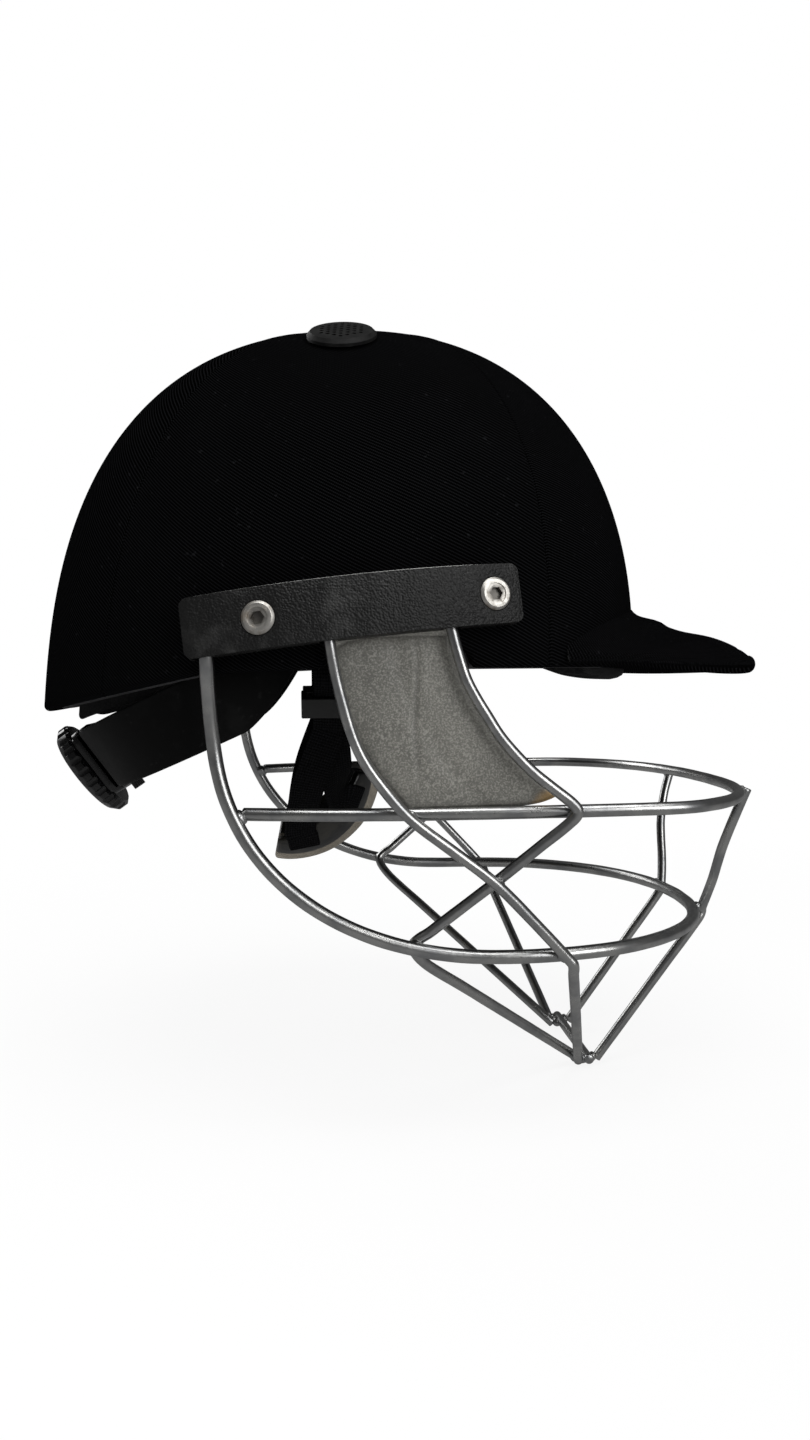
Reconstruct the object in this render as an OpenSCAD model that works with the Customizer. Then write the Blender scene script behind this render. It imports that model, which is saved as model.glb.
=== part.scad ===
// Cricket batting helmet with a welded wire face guard, a dial harness and a chin strap.
// The origin is the middle of the head opening. +X is the front, +Y the wearer's left, +Z up.

/* [Shell] */
// Distance from the origin to the front of the covered shell
shell_front = 126; // [115:0.5:140]
// Distance from the origin to the rear of the covered shell
shell_rear = 121.5; // [112:0.5:132]
// Half of the covered shell's width
shell_half_w = 101; // [96:0.5:108]
// Height of the crown above the origin
crown_z = 141; // [130:0.5:152]
// Distance the crown stands ahead of the origin
crown_shift = 12; // [0:0.5:20]
// Thickness of the cloth cover
cloth_t = 1.2; // [0.8:0.1:1.6]
// Thickness of the moulded shell
shell_t = 3; // [2.4:0.1:3.6]
// Thickness of the foam liner
liner_t = 8; // [6:0.5:9]
// Width of the gap at a cover seam
seam_gap = 0.3; // [0.2:0.05:0.6]

/* [Rim] */
// Height of the rim at the front and sides
rim_z = 3.5; // [2:0.5:6]
// Height of the rim at the rear
rim_rear_z = -12.5; // [-14:0.5:-8]
// Place where the rim starts to fall towards the rear
rim_fall_x = -50; // [-60:1:-45]
// Middle of the ear arch
ear_x = 19; // [17:0.5:20]
// Half of the ear arch's width
ear_half = 27; // [26.5:0.5:29]
// Height of the top of the ear arch
ear_top_z = 16; // [15.5:0.5:18]

/* [Vents] */
// Diameter of a vent cap
vent_d = 27; // [22:0.5:30]
// Azimuth of a vent, from the front
vent_u = 99; // [94:0.5:104]
// Rise of a vent up the dome
vent_v = 65.5; // [60:0.5:70]
// Diameter of one air hole
air_hole_d = 1.6; // [1.2:0.1:1.8]

/* [Peak] */
// Distance from the origin to the tip of the peak
peak_tip_x = 179.5; // [165:0.5:192]
// Half of the peak's width
peak_half_w = 80; // [78:0.5:86]
// Thickness of the stiff board in the peak
peak_board_t = 2.4; // [2:0.1:3]
// Height of the tip of the peak
peak_tip_z = 4; // [-2:0.5:10]

/* [Side plates] */
// Length of a side plate
plate_l = 116; // [112:0.5:122]
// Height of a side plate
plate_h = 20.5; // [20:0.5:23]
// Thickness of a side plate
plate_t = 7; // [6.8:0.1:9]
// Radius of a side plate's corners
plate_corner_r = 3; // [1:0.25:5]
// Wall left over the wires
plate_wall = 1.8; // [1.4:0.1:2]
// Slope of a side plate, front end up
side_tilt = 6; // [4:0.5:8]
// Place of the middle of a side plate
side_x = 3; // [0:0.5:5]
// Height of the middle of a side plate
side_z = 21; // [20:0.5:23]
// Plan radius of the shell behind a side plate
side_r = 150; // [140:1:165]
// Thickness of the steel strip under a side plate
strip_t = 1.5; // [1.2:0.1:2]
// Height of the steel strip
strip_h = 18; // [16:0.5:19]
// Rear screw's distance behind the middle of the plate
rear_screw_s = 30; // [26:0.5:36]
// Front screw's distance ahead of the middle of the plate
front_screw_s = 45.5; // [43:0.5:48]
// Diameter of a screw head
screw_head_d = 11.4; // [10:0.1:12]
// Diameter of a screw
screw_d = 5; // [4:0.5:5.5]
// Width across the flats of the hex socket
socket_af = 4; // [3:0.5:4]

/* [Face guard] */
// Diameter of the lower loop's wire
loop_d = 5; // [4.4:0.1:5.4]
// Diameter of the top ring's wire
ring_d = 4.6; // [4:0.1:5]
// Diameter of the other wires
wire_d = 4; // [3.4:0.1:4.4]
// Height of the top ring
ring_z = -49; // [-54:0.5:-46]
// Height of the lower loop
loop_z = -101.2; // [-108:0.5:-96]
// Height of the chin bar
chin_z = -164; // [-172:0.5:-156]
// Distance from the origin to the front of the top ring
ring_front = 164.5; // [156:0.5:172]
// Distance from the origin to the front of the lower loop
loop_front = 151; // [144:0.5:158]
// Half of the top ring's width
ring_half_w = 100; // [98:0.5:101]
// Half of the lower loop's width
loop_half_w = 94; // [90:0.5:96]
// Half of the distance between the rear uprights
upright_half_w = 88.6; // [86:0.5:92]
// Place of the chin bar
chin_x = 103; // [98:0.5:108]
// Half of the chin bar's length
chin_half_l = 29; // [28:0.5:34]

/* [Ear guards] */
// Thickness of an ear guard
ear_guard_t = 9; // [7:0.5:10]

/* [Harness] */
// Width of the harness band
band_w = 25; // [22:0.5:26]
// Thickness of the harness band
band_t = 1.4; // [1.2:0.1:1.6]
// Room between the outside of the cloth and the harness band
band_gap = 24; // [22.5:0.5:25.5]
// Distance from the harness pivot back to the ratchet
band_reach = 77; // [73:0.5:86]
// Slope of the harness band, rear end down
band_slope = 24; // [20:0.5:28]
// Angle of the dial's axis below the horizontal
dial_slope = 36; // [32:0.5:48]
// Diameter of the dial
dial_d = 42; // [38:0.5:46]
// Travel of the ratchet as the dial turns
ratchet_travel = 12; // [8:0.5:14]

/* [Chin strap] */
// Width of the webbing
webbing_w = 15; // [12:0.5:18]
// Thickness of the webbing
webbing_t = 1.5; // [1.2:0.1:1.8]
// Place of the strap anchors
strap_x = -4; // [-7:0.5:-2]
// Height of the strap anchors
strap_z = 13; // [12:0.5:16]
// Radius of the chin cup
cup_r = 38; // [34:0.5:42]
// Thickness of the chin cup
cup_t = 3.6; // [3:0.1:4.2]
// Height of the middle of the chin cup's curve
cup_z = -42; // [-48:0.5:-38]

/* [Hidden] */

layer_gap = 0.15;
soft_gap = 0.3;
weld_gap = 0.1;
fine = 48;

// The dome of the shell
base_z = -14;
front_power = 2.27;
rear_power = 2.55;
front_seam_u = 54.5;
rear_seam_u = 136;
shell_inset = cloth_t + layer_gap;
liner_inset = shell_inset + shell_t + layer_gap;
inner_inset = liner_inset + liner_t;
u_steps = concat(
  [for (i = [0:12]) front_seam_u * (i / 6 - 1)],
  [for (i = [1:8]) front_seam_u + (rear_seam_u - front_seam_u) * i / 8],
  [for (i = [1:8]) rear_seam_u + (360 - 2 * rear_seam_u) * i / 8],
  [for (i = [1:7]) 360 - rear_seam_u + (rear_seam_u - front_seam_u) * i / 8]);
v_steps = [0, 7, 14, 23, 33, 44, 55, 66, 76, 84];

function clamp(t) = min(1, max(0, t));
function ease(t) = let (c = clamp(t)) c * c * (3 - 2 * c);
function mix(a, b, t) = a * (1 - t) + b * t;
function unit(a) = a / norm(a);
function flip(p) = [p.x, -p.y, p.z];
function dome_power(u) = front_power * (pow(max(cos(u), 0), 2) + pow(sin(u), 2))
  + rear_power * pow(max(-cos(u), 0), 2);
// A point of the dome at azimuth u and rise v, this far inside the cloth
function dome(u, v, inset) = let (
    power = 2 / dome_power(u),
    reach = (cos(u) > 0 ? shell_front : shell_rear) - inset,
    level = crown_z - base_z,
    k = pow(sin(v), power))
  concat(
    [reach * cos(u) * pow(max(cos(v), 0), power) + crown_shift * k],
    [(shell_half_w - inset) * sin(u) * pow(max(cos(v), 0), power)],
    [base_z + (level - inset) * k]);
// The rise at which the dome reaches a height at azimuth u
function rise_at(u, z) = asin(pow(clamp((z - base_z) / (crown_z - base_z)), dome_power(u) / 2));
// The dome's half width at a place along it, low down
function dome_half_w(x, inset) = (shell_half_w - inset)
  * sqrt(1 - pow(x / ((x > 0 ? shell_front : shell_rear) - inset), 2));

// Closed solid between two grids of points, with rows along and columns across
function grid_faces(rows, cols, start, turned) = [for (j = [0:rows - 2]) for (i = [0:cols - 2])
  let (a = start + j * cols + i, b = a + 1, c = a + cols + 1, d = a + cols)
  for (f = turned ? [[a, b, c], [a, c, d]] : [[a, c, b], [a, d, c]]) f];
function edge_ring(rows, cols) = concat(
  [for (i = [0:cols - 1]) i],
  [for (j = [1:rows - 1]) j * cols + cols - 1],
  [for (i = [1:cols - 1]) rows * cols - 1 - i],
  [for (j = [1:rows - 2]) (rows - 1 - j) * cols]);
module slab(outer, inner) {
  rows = len(outer);
  cols = len(outer[0]);
  count = rows * cols;
  ring = edge_ring(rows, cols);
  sides = [for (i = [0:len(ring) - 1]) let (a = ring[i], b = ring[(i + 1) % len(ring)])
    for (f = [[a, b, b + count], [a, b + count, a + count]]) f];
  polyhedron(
    points = concat([for (row = outer) for (p = row) p], [for (row = inner) for (p = row) p]),
    faces = concat(grid_faces(rows, cols, 0, false), grid_faces(rows, cols, count, true), sides),
    convexity = 8);
}

// Tube along a path, its section carried along without twist
function path_tangents(path) = [for (i = [0:len(path) - 1])
  unit(path[min(i + 1, len(path) - 1)] - path[max(i - 1, 0)])];
function square_to(a, t) = unit(a - (a * t) * t);
function path_normals(tangents, first) = [for (i = 0, n = square_to(first, tangents[0]);
  i < len(tangents);
  i = i + 1, n = i < len(tangents) ? square_to(n, tangents[i]) : n) n];
module tube(path, d, sides) {
  tangents = path_tangents(path);
  normals = path_normals(tangents, [0.31, 0.22, 0.92]);
  rings = len(path);
  points = [for (i = [0:rings - 1]) let (side = cross(tangents[i], normals[i]))
    for (k = [0:sides - 1]) path[i] + d / 2 * (cos(k * 360 / sides) * normals[i] + sin(k * 360 / sides) * side)];
  walls = [for (i = [0:rings - 2]) for (k = [0:sides - 1])
    let (a = i * sides + k, b = i * sides + (k + 1) % sides)
    for (f = [[a, a + sides, b + sides], [a, b + sides, b]]) f];
  ends = concat(
    [for (k = [1:sides - 2]) [0, k, k + 1]],
    [for (k = [1:sides - 2]) let (a = (rings - 1) * sides) [a, a + k + 1, a + k]]);
  polyhedron(points = points, faces = concat(walls, ends), convexity = 8);
}
// Smooth curve through points, this many steps from each to the next
function curve(p, steps) = concat([for (i = [0:len(p) - 2]) for (k = [0:steps - 1])
  let (t = k / steps, a = p[max(i - 1, 0)], b = p[i], c = p[i + 1], d = p[min(i + 2, len(p) - 1)])
  b + 0.5 * t * (c - a) + t * t * (a - 2.5 * b + 2 * c - 0.5 * d)
    + t * t * t * (1.5 * b - 0.5 * a - 1.5 * c + 0.5 * d)], [p[len(p) - 1]]);

module mirrored(side) {
  mirror([0, side < 0 ? 1 : 0, 0])
  children();
}

// Everything below the rim line, seen from the side, with the ear arches
module rim_cut(drop) {
  arch = [for (i = [0:10]) let (a = 180 - 18 * i)
    [ear_x + ear_half * cos(a), rim_z + (ear_top_z - rim_z) * sin(a)]];
  rotate([90, 0, 0])
  linear_extrude(4 * shell_half_w, center = true)
  translate([0, -drop])
  polygon(concat(
    [[-2 * shell_rear, base_z - 5], [-2 * shell_rear, rim_rear_z - 1], [-shell_rear, rim_rear_z],
      [rim_fall_x, rim_z - 1.5]],
    arch,
    [[shell_front, rim_z - 0.5], [2 * shell_front, rim_z - 0.5], [2 * shell_front, base_z - 5]]));
}

module dome_layer(inset, thickness) {
  rows = len(v_steps);
  cols = len(u_steps);
  layer = rows * cols;
  top = 2 * layer;
  function id(s, j, i) = s * layer + j * cols + i % cols;
  points = concat(
    [for (d = [inset, inset + thickness]) for (v = v_steps) for (u = u_steps) dome(u, v, d)],
    [dome(0, 90, inset), dome(0, 90, inset + thickness)]);
  walls = [for (s = [0, 1]) for (j = [0:rows - 2]) for (i = [0:cols - 1])
    let (a = id(s, j, i), b = id(s, j, i + 1), c = id(s, j + 1, i + 1), d = id(s, j + 1, i))
    for (f = s == 0 ? [[a, d, c], [a, c, b]] : [[a, c, d], [a, b, c]]) f];
  caps = [for (s = [0, 1]) for (i = [0:cols - 1])
    let (a = id(s, rows - 1, i), b = id(s, rows - 1, i + 1))
    s == 0 ? [a, top, b] : [b, top + 1, a]];
  rims = [for (i = [0:cols - 1])
    let (a = id(0, 0, i), b = id(0, 0, i + 1), c = id(1, 0, i + 1), d = id(1, 0, i))
    for (f = [[a, b, c], [a, c, d]]) f];
  polyhedron(points = points, faces = concat(walls, caps, rims), convexity = 8);
}

// One cloth panel between two seams
module cover_panel(first, last) {
  steps = [for (i = [first:last]) u_steps[i % len(u_steps)] + (i < len(u_steps) ? 0 : 360)];
  rises = concat(v_steps, [88.6]);
  function inset_u(i, v) = let (
      turn = asin(min(0.9, seam_gap / 2 / (shell_half_w * pow(cos(v), 0.85)))))
    steps[i] + (i == 0 ? turn : i == len(steps) - 1 ? -turn : 0);
  difference() {
    slab(
      [for (v = rises) [for (i = [0:len(steps) - 1]) dome(inset_u(i, v), v, 0)]],
      [for (v = rises) [for (i = [0:len(steps) - 1]) dome(inset_u(i, v), v, cloth_t)]]);
    rim_cut(0);
    vent_ports(port_d);
  }
}

port_d = vent_d - 9;
function dome_normal(u, v) = unit(cross(dome(u + 1, v, 0) - dome(u - 1, v, 0), dome(u, v + 1, 0) - dome(u, v - 1, 0)));
module at_vent() {
  normal = dome_normal(vent_u, vent_v);
  for (side = [-1, 1])
  mirrored(side)
  translate(dome(vent_u, vent_v, 0))
  rotate([0, acos(normal.z), atan2(normal.y, normal.x)])
  children();
}
module vent_ports(d) {
  at_vent()
  translate([0, 0, -2 * inner_inset])
  cylinder(h = 3 * inner_inset, d = d, $fn = fine);
}

// Frame of a side plate: x along it, y out of it, z up
lean = 5.7;
side_y = shell_half_w - 1.5;
module at_side(side) {
  mirrored(side)
  translate([side_x, side_y, side_z])
  rotate([lean, 0, 0])
  rotate([0, -side_tilt, 0])
  children();
}
function side_sag(s, n) = sqrt(pow(side_r + n, 2) - s * s) - side_r;
// A point beside the shell: s along the plate, n out of the shell, h up
function side_point(s, n, h) = let (
    x = s * cos(side_tilt) - h * sin(side_tilt),
    z = s * sin(side_tilt) + h * cos(side_tilt),
    y = side_sag(s, n))
  [side_x + x, side_y + y * cos(lean) - z * sin(lean), side_z + y * sin(lean) + z * cos(lean)];
// Curved slab beside the shell, between two distances out of it
module side_slab(n, t) {
  translate([0, -side_r, 0])
  rotate([0, 0, 60])
  rotate_extrude(angle = 60, $fn = 180)
  translate([side_r + n, -plate_h])
  square([t, 2 * plate_h]);
}
module side_outline(length, height, r) {
  rotate([90, 0, 0])
  linear_extrude(length, center = true)
  union() {
    square([length - 2 * r, height], center = true);
    square([length, height - 2 * r], center = true);
    for (x = [-1, 1])
    for (y = [-1, 1])
    translate([x * (length / 2 - r), y * (height / 2 - r)])
    circle(r, $fn = 32);
  }
}
// Both screws of a side, each with z along its axis and its zero at the strip's back
module at_screws() {
  for (s = [-rear_screw_s, front_screw_s])
  translate([0, -side_r, 0])
  rotate([0, 0, -asin(s / side_r)])
  translate([0, side_r + strip_n, 0])
  rotate([-90, 0, 0])
  children();
}
ear_flange_t = 1;
strip_n = ear_flange_t + 0.9;
wire_n = strip_n + strip_t + wire_d / 2 + weld_gap;
loop_n = strip_n + strip_t + loop_d / 2 + weld_gap;
plate_n = strip_n + strip_t + weld_gap;
nut_barrel_d = screw_d + 2.4;
nut_flange_t = 1.2;
nut_flange_d = nut_barrel_d + 4;

module screw_holes(d) {
  for (side = [-1, 1])
  at_side(side)
  at_screws()
  translate([0, 0, -3 * shell_t])
  cylinder(h = 6 * shell_t, d = d, $fn = fine);
}

band_half_w = shell_half_w - band_gap;
harness_x = -34;
harness_z = 9;
stud_d = 5;
stud_head_d = 9;
stud_head_t = 1.2;
stud_fit = 0.3;
// Both studs of a pair, each with z outward and its zero at this distance from the middle plane
module at_studs(x, z, y) {
  for (side = [-1, 1])
  mirrored(side)
  translate([x, y, z])
  rotate([-90, 0, 0])
  children();
}
function shell_inner_y(x) = min([for (e = [-0.5, 0.5]) dome_half_w(x + e * stud_head_d, liner_inset)]) - 1.4;
module stud_pockets(x, z) {
  at_studs(x, z, shell_inner_y(x) - 2 * liner_t)
  cylinder(h = 2.5 * liner_t, d = stud_d + 0.4, $fn = fine);
  at_studs(x, z, shell_inner_y(x) - stud_head_t - 0.2)
  cylinder(h = liner_t, d = stud_head_d + 0.4, $fn = fine);
}

module outer_shell() {
  color("#1d1d20")
  difference() {
    dome_layer(shell_inset, shell_t);
    rim_cut(0);
    vent_ports(port_d);
    screw_holes(nut_barrel_d + 0.4);
  }
}
module front_cover_panel() {
  color("#101114")
  cover_panel(0, 12);
}
module left_cover_panel() {
  color("#131418")
  difference() {
    cover_panel(12, 20);
    screw_holes(nut_barrel_d + 0.4);
  }
}
module rear_cover_panel() {
  color("#101114")
  cover_panel(20, 28);
}
module right_cover_panel() {
  color("#131418")
  difference() {
    cover_panel(28, 36);
    screw_holes(nut_barrel_d + 0.4);
  }
}
module foam_liner() {
  color("#26272b")
  difference() {
    dome_layer(liner_inset, liner_t);
    rim_cut(0);
    vent_ports(port_d);
    for (side = [-1, 1])
    at_side(side)
    at_screws()
    translate([0, 0, -3 * shell_t - strip_n - 2])
    cylinder(h = 3 * shell_t, d = nut_flange_d + 1, $fn = fine);
    stud_pockets(harness_x, harness_z);
    stud_pockets(strap_x, strap_z);
  }
}

module vent_caps() {
  flange_t = 2.6;
  spigot_wall = 1.3;
  hole_pitch = 2.9;
  color("#3a3c3f")
  at_vent()
  difference() {
    union() {
      translate([0, 0, layer_gap])
      rotate_extrude($fn = fine)
      polygon([[0, 0], [vent_d / 2, 0], [vent_d / 2, flange_t - 1.4], [vent_d / 2 - 1.4, flange_t],
        [vent_d / 4, flange_t + 0.4], [0, flange_t + 0.5]]);
      translate([0, 0, -shell_inset - shell_t])
      difference() {
        cylinder(h = shell_inset + shell_t + 1, d = port_d - 0.4, $fn = fine);
        translate([0, 0, -1])
        cylinder(h = shell_inset + shell_t + 1, d = port_d - 0.4 - 2 * spigot_wall, $fn = fine);
      }
    }
    for (i = [-3:3])
    for (j = [-3:3])
    if (abs(i + j) <= 3)
    translate([(i + j / 2) * hole_pitch, j * hole_pitch * sin(60), -1])
    cylinder(h = 3 * flange_t, d = air_hole_d, $fn = 16);
  }
}

// The peak: a bill that springs from the shell and droops towards its sides
peak_root_u = 50;
peak_root_z = 24;
peak_side_z = 9;
peak_arch = 2.5;
cover_step = cloth_t + layer_gap;
peak_t = peak_board_t + 2 * cover_step;
peak_s = [for (i = [-9:9]) sin(i * 10)];
peak_rows = [0, 0.12, 0.3, 0.5, 0.7, 0.88, 1];
module bill(inset, drop, t, push) {
  root_u = peak_root_u - inset * 0.9;
  root_x = dome(peak_root_u, 8, 0).x;
  function root(s, z) = dome(s * root_u, rise_at(s * root_u, z), push - layer_gap);
  function edge(s, z) = [
    root_x + (peak_tip_x - inset - root_x) * sqrt(max(0, 1 - s * s)),
    (peak_half_w - inset) * s,
    mix(peak_tip_z, 1.5, s * s) + z];
  function sheet(z) = [for (r = peak_rows) [for (s = peak_s)
    mix(root(s, mix(peak_root_z, peak_side_z, s * s) - drop + z), edge(s, peak_t / 2 - drop + z), r)
      + [0, 0, peak_arch * 4 * r * (1 - r) * (1 - s * s)]]];
  slab(sheet(-t), sheet(0));
}
module peak_board() {
  color("#3b3d42")
  bill(cover_step, cover_step, peak_board_t, 0);
}
module peak_cover() {
  color("#0f1013")
  difference() {
    bill(0, 0, peak_t, 0);
    bill(cloth_t, cloth_t, peak_board_t + 2 * layer_gap, 2 * layer_gap);
  }
}

// Comfort pads: cushions that lie on the liner, thick in the middle and drawn in at their edges
pad_edge_t = 0.8;
pad_seat = 0.95;
function pillow(s, t) = pow(max(0, (1 - pow(abs(s), 5)) * (1 - pow(abs(t), 5))), 0.55);
function channel(s, places) = len(places) == 0 ? 1
  : 1 - 0.5 * max([for (p = places) exp(-pow((s - p) / 0.09, 2))]);
module dome_pad(u, v, t, cols, rows, channels) {
  function at(i, n) = -cos(180 * i / n);
  function lift(s, r) = pad_edge_t + (t - pad_edge_t) * pillow(s, r) * channel(s, channels);
  inset = inner_inset + pad_seat;
  slab(
    [for (j = [0:rows]) [for (i = [0:cols])
      dome(mix(u[0], u[1], (at(i, cols) + 1) / 2), mix(v[0], v[1], (at(j, rows) + 1) / 2), inset)]],
    [for (j = [0:rows]) [for (i = [0:cols])
      dome(mix(u[0], u[1], (at(i, cols) + 1) / 2), mix(v[0], v[1], (at(j, rows) + 1) / 2),
        inset + lift(at(i, cols), at(j, rows)))]]);
}
module brow_pad() {
  color("#17181b")
  dome_pad([-47, 47], [2.5, 17], 10, 26, 8, [-0.5, 0, 0.5]);
}
module rear_pad() {
  color("#17181b")
  dome_pad([150, 210], [5, 22], 9, 18, 8, [-0.33, 0.33]);
}
module side_pad(side) {
  color("#17181b")
  mirrored(side)
  dome_pad([64, 128], [14, 31], 8, 18, 8, [-0.33, 0.33]);
}
module left_side_pad() {
  side_pad(1);
}
module right_side_pad() {
  side_pad(-1);
}
module crown_pad() {
  steps = 12;
  spread = 25;
  thick = 9;
  function at(i) = -cos(180 * i / steps);
  function place(i, j) = [at(i) * sqrt(1 - pow(at(j), 2) / 2), at(j) * sqrt(1 - pow(at(i), 2) / 2)];
  function on_dome(p, inset) = dome(norm(p) < 0.001 ? 0 : atan2(p.y, p.x), 90 - spread * norm(p), inset);
  function lift(p) = pad_edge_t + (thick - pad_edge_t) * pow(max(0, 1 - pow(norm(p), 6)), 0.55)
    * channel(p.x, [-0.4, 0.4]) * channel(p.y, [-0.4, 0.4]);
  inset = inner_inset + pad_seat;
  color("#17181b")
  slab(
    [for (j = [0:steps]) [for (i = [0:steps]) on_dome(place(i, j), inset)]],
    [for (j = [0:steps]) [for (i = [0:steps]) on_dome(place(i, j), inset + lift(place(i, j)))]]);
}

// Side plates, the strips that the wires are welded to, and their fasteners
strip_lift = 1.8;
head_seat = 1.6;
nut_grip = strip_n + cloth_t + shell_t + 1.6;
module wire_slot(low, high, d, n) {
  run = [high.x - low.x, 0, high.y - low.y];
  middle = (low + high) / 2;
  translate([middle.x, side_sag(middle.x, plate_n), middle.y])
  rotate([0, atan2(run.x, run.z), 0])
  rotate([0, 0, -asin(middle.x / side_r)])
  translate([-d / 2 - 1, -2, -norm(run) / 2])
  cube([d + 2, n - plate_n + d / 2 + 2.4, norm(run)]);
}
loop_top = [-49.2, 5];
loop_exit = [-51.1, -11];
cheek_top = [-10.4, 5];
cheek_exit = [-9.5, -11];
jaw_top = [30.2, 5];
jaw_exit = [32.3, -11];
module side_plate(side) {
  color("#191a1d")
  at_side(side)
  difference() {
    intersection() {
      side_slab(plate_n, plate_t);
      side_outline(plate_l, plate_h, plate_corner_r);
    }
    difference() {
      intersection() {
        side_slab(plate_n - 1, plate_t - plate_wall + 1);
        side_outline(plate_l - 2 * plate_wall, plate_h - 2 * plate_wall, plate_corner_r / 2);
      }
      at_screws()
      cylinder(h = 3 * plate_t, d = screw_head_d + 2, center = true, $fn = fine);
    }
    wire_slot([loop_exit.x - 0.3, -14], [loop_top.x, 6], loop_d, loop_n);
    wire_slot([cheek_exit.x, -14], [cheek_top.x, 6], wire_d, wire_n);
    wire_slot([jaw_exit.x + 0.4, -14], [jaw_top.x, 6], wire_d, wire_n);
    at_screws()
    cylinder(h = 3 * plate_t, d = screw_d + 0.5, center = true, $fn = fine);
    at_screws()
    translate([0, 0, plate_n - strip_n + plate_t - head_seat])
    cylinder(h = plate_t, d = screw_head_d + 0.5, $fn = fine);
  }
}
module left_side_plate() {
  side_plate(1);
}
module right_side_plate() {
  side_plate(-1);
}
module plate_strip(side) {
  color("#b9bbbd")
  at_side(side)
  translate([0, 0, strip_lift])
  difference() {
    intersection() {
      side_slab(strip_n, strip_t);
      side_outline(plate_l - 4, strip_h, plate_corner_r);
    }
    translate([0, 0, -strip_lift])
    at_screws()
    cylinder(h = 3 * plate_t, d = screw_d + 0.5, center = true, $fn = fine);
  }
}
module left_plate_strip() {
  plate_strip(1);
}
module right_plate_strip() {
  plate_strip(-1);
}
// Zero of the screw's own length is the strip's back
module plate_screws() {
  head_t = 2.6;
  seat = plate_n - strip_n + plate_t - head_seat;
  color("#cfcfca")
  for (side = [-1, 1])
  at_side(side)
  at_screws()
  difference() {
    union() {
      translate([0, 0, seat])
      rotate_extrude($fn = fine)
      polygon([[0, 0], [screw_head_d / 2, 0], [screw_head_d / 2, head_t - 0.9],
        [screw_head_d / 2 - 0.9, head_t], [0, head_t]]);
      translate([0, 0, -nut_grip - 1])
      cylinder(h = nut_grip + 1 + seat, d = screw_d, $fn = fine);
    }
    translate([0, 0, seat + head_t - 0.5])
    cylinder(h = 1, d = socket_af + 3, $fn = fine);
    translate([0, 0, seat + head_t - 2.1])
    cylinder(h = 2, d = socket_af / cos(30), $fn = 6);
  }
}
module tee_nuts() {
  color("#a9abad")
  for (side = [-1, 1])
  at_side(side)
  at_screws()
  difference() {
    union() {
      translate([0, 0, -nut_grip])
      cylinder(h = nut_grip - ear_flange_t - 0.4, d = nut_barrel_d, $fn = fine);
      translate([0, 0, -nut_grip - nut_flange_t])
      cylinder(h = nut_flange_t, d = nut_flange_d, $fn = fine);
    }
    translate([0, 0, -nut_grip - 2 * nut_flange_t])
    cylinder(h = 2 * nut_grip, d = screw_d, $fn = fine);
  }
}

// The face guard: bent wires welded where they cross
loop_mid_x = 60;
loop_rear_x = -46;
loop_turn_z = -15;
ring_mid_x = 100;
ring_power = 2 / 2.3;
nose_power = 2 / 2.15;
heel_power = 2 / 2.2;
ring_blend_x = 60;
function loop_heel(a) = [
  loop_mid_x - (loop_mid_x - loop_rear_x) * pow(max(0, cos(a)), heel_power),
  mix(upright_half_w, loop_half_w, sin(a)),
  loop_turn_z - (loop_turn_z - loop_z) * pow(sin(a), heel_power)];
function loop_nose(a) = [
  loop_mid_x + (loop_front - loop_mid_x) * pow(sin(a), nose_power),
  loop_half_w * pow(max(0, cos(a)), nose_power),
  loop_z];
function loop_nose_at(w) = loop_nose(acos(pow(w / loop_half_w, 1 / nose_power)));
function loop_side_at(x) = loop_nose(asin(pow(clamp((x - loop_mid_x) / (loop_front - loop_mid_x)), 1 / nose_power)));
function ring_nose(a) = [
  ring_mid_x + (ring_front - ring_mid_x) * pow(sin(a), ring_power),
  ring_half_w * pow(max(0, cos(a)), ring_power),
  ring_z];
function ring_nose_at(w) = ring_nose(acos(pow(w / ring_half_w, 1 / ring_power)));
heel_a = asin(pow((loop_turn_z - ring_z) / (loop_turn_z - loop_z), 1 / heel_power));
ring_end_x = loop_heel(heel_a).x + loop_d / 2 + ring_d / 4 + 3 * weld_gap;
function ring_side(x) = [x,
  ring_half_w - (ring_half_w - upright_half_w) * pow(1 - clamp((x - ring_end_x) / (ring_blend_x - ring_end_x)), 2.5),
  ring_z];
function outside(p, d) = [p.x, p.y + d, p.z];
function part_way(a, b, f) = [mix(a.x, b.x, f.x), mix(a.y, b.y, f.y), mix(a.z, b.z, f.z)];
function both_sides(half) = concat(half, [for (i = [len(half) - 2:-1:0]) flip(half[i])]);

loop_upright = [
  side_point(loop_top.x, loop_n, loop_top.y),
  side_point(mix(loop_top.x, loop_exit.x, 0.5), loop_n, mix(loop_top.y, loop_exit.y, 0.5)),
  side_point(loop_exit.x, loop_n, loop_exit.y)];
module lower_loop() {
  half = concat(loop_upright,
    [[loop_rear_x - 0.7, mix(upright_half_w, loop_upright[2].y, 0.35), mix(loop_turn_z, loop_upright[2].z, 0.3)]],
    [for (a = [6, 16, 27, 38, 49, 60, 71, 82]) loop_heel(a)],
    [for (a = [4, 20, 34, 47, 59, 70, 80, 90]) loop_nose(a)]);
  color("#c9cac8")
  tube(both_sides(curve(half, 2)), loop_d, 10);
}
module top_ring() {
  half = concat(
    [for (x = [ring_end_x, -18, 4, 30, 60, 86]) ring_side(x)],
    [for (a = [12, 26, 39, 51, 62, 72, 81, 90]) ring_nose(a)]);
  color("#c6c7c5")
  tube(both_sides(curve(half, 2)), ring_d, 10);
}
ring_stand = (ring_d + wire_d) / 2 + weld_gap;
loop_stand = (loop_d + wire_d) / 2 + weld_gap;
bar_stand = wire_d + weld_gap;
cheek_ring_x = 20.2;
cheek_loop_x = 76.8;
jaw_ring_x = 79;
jaw_loop_a = 72;
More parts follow.
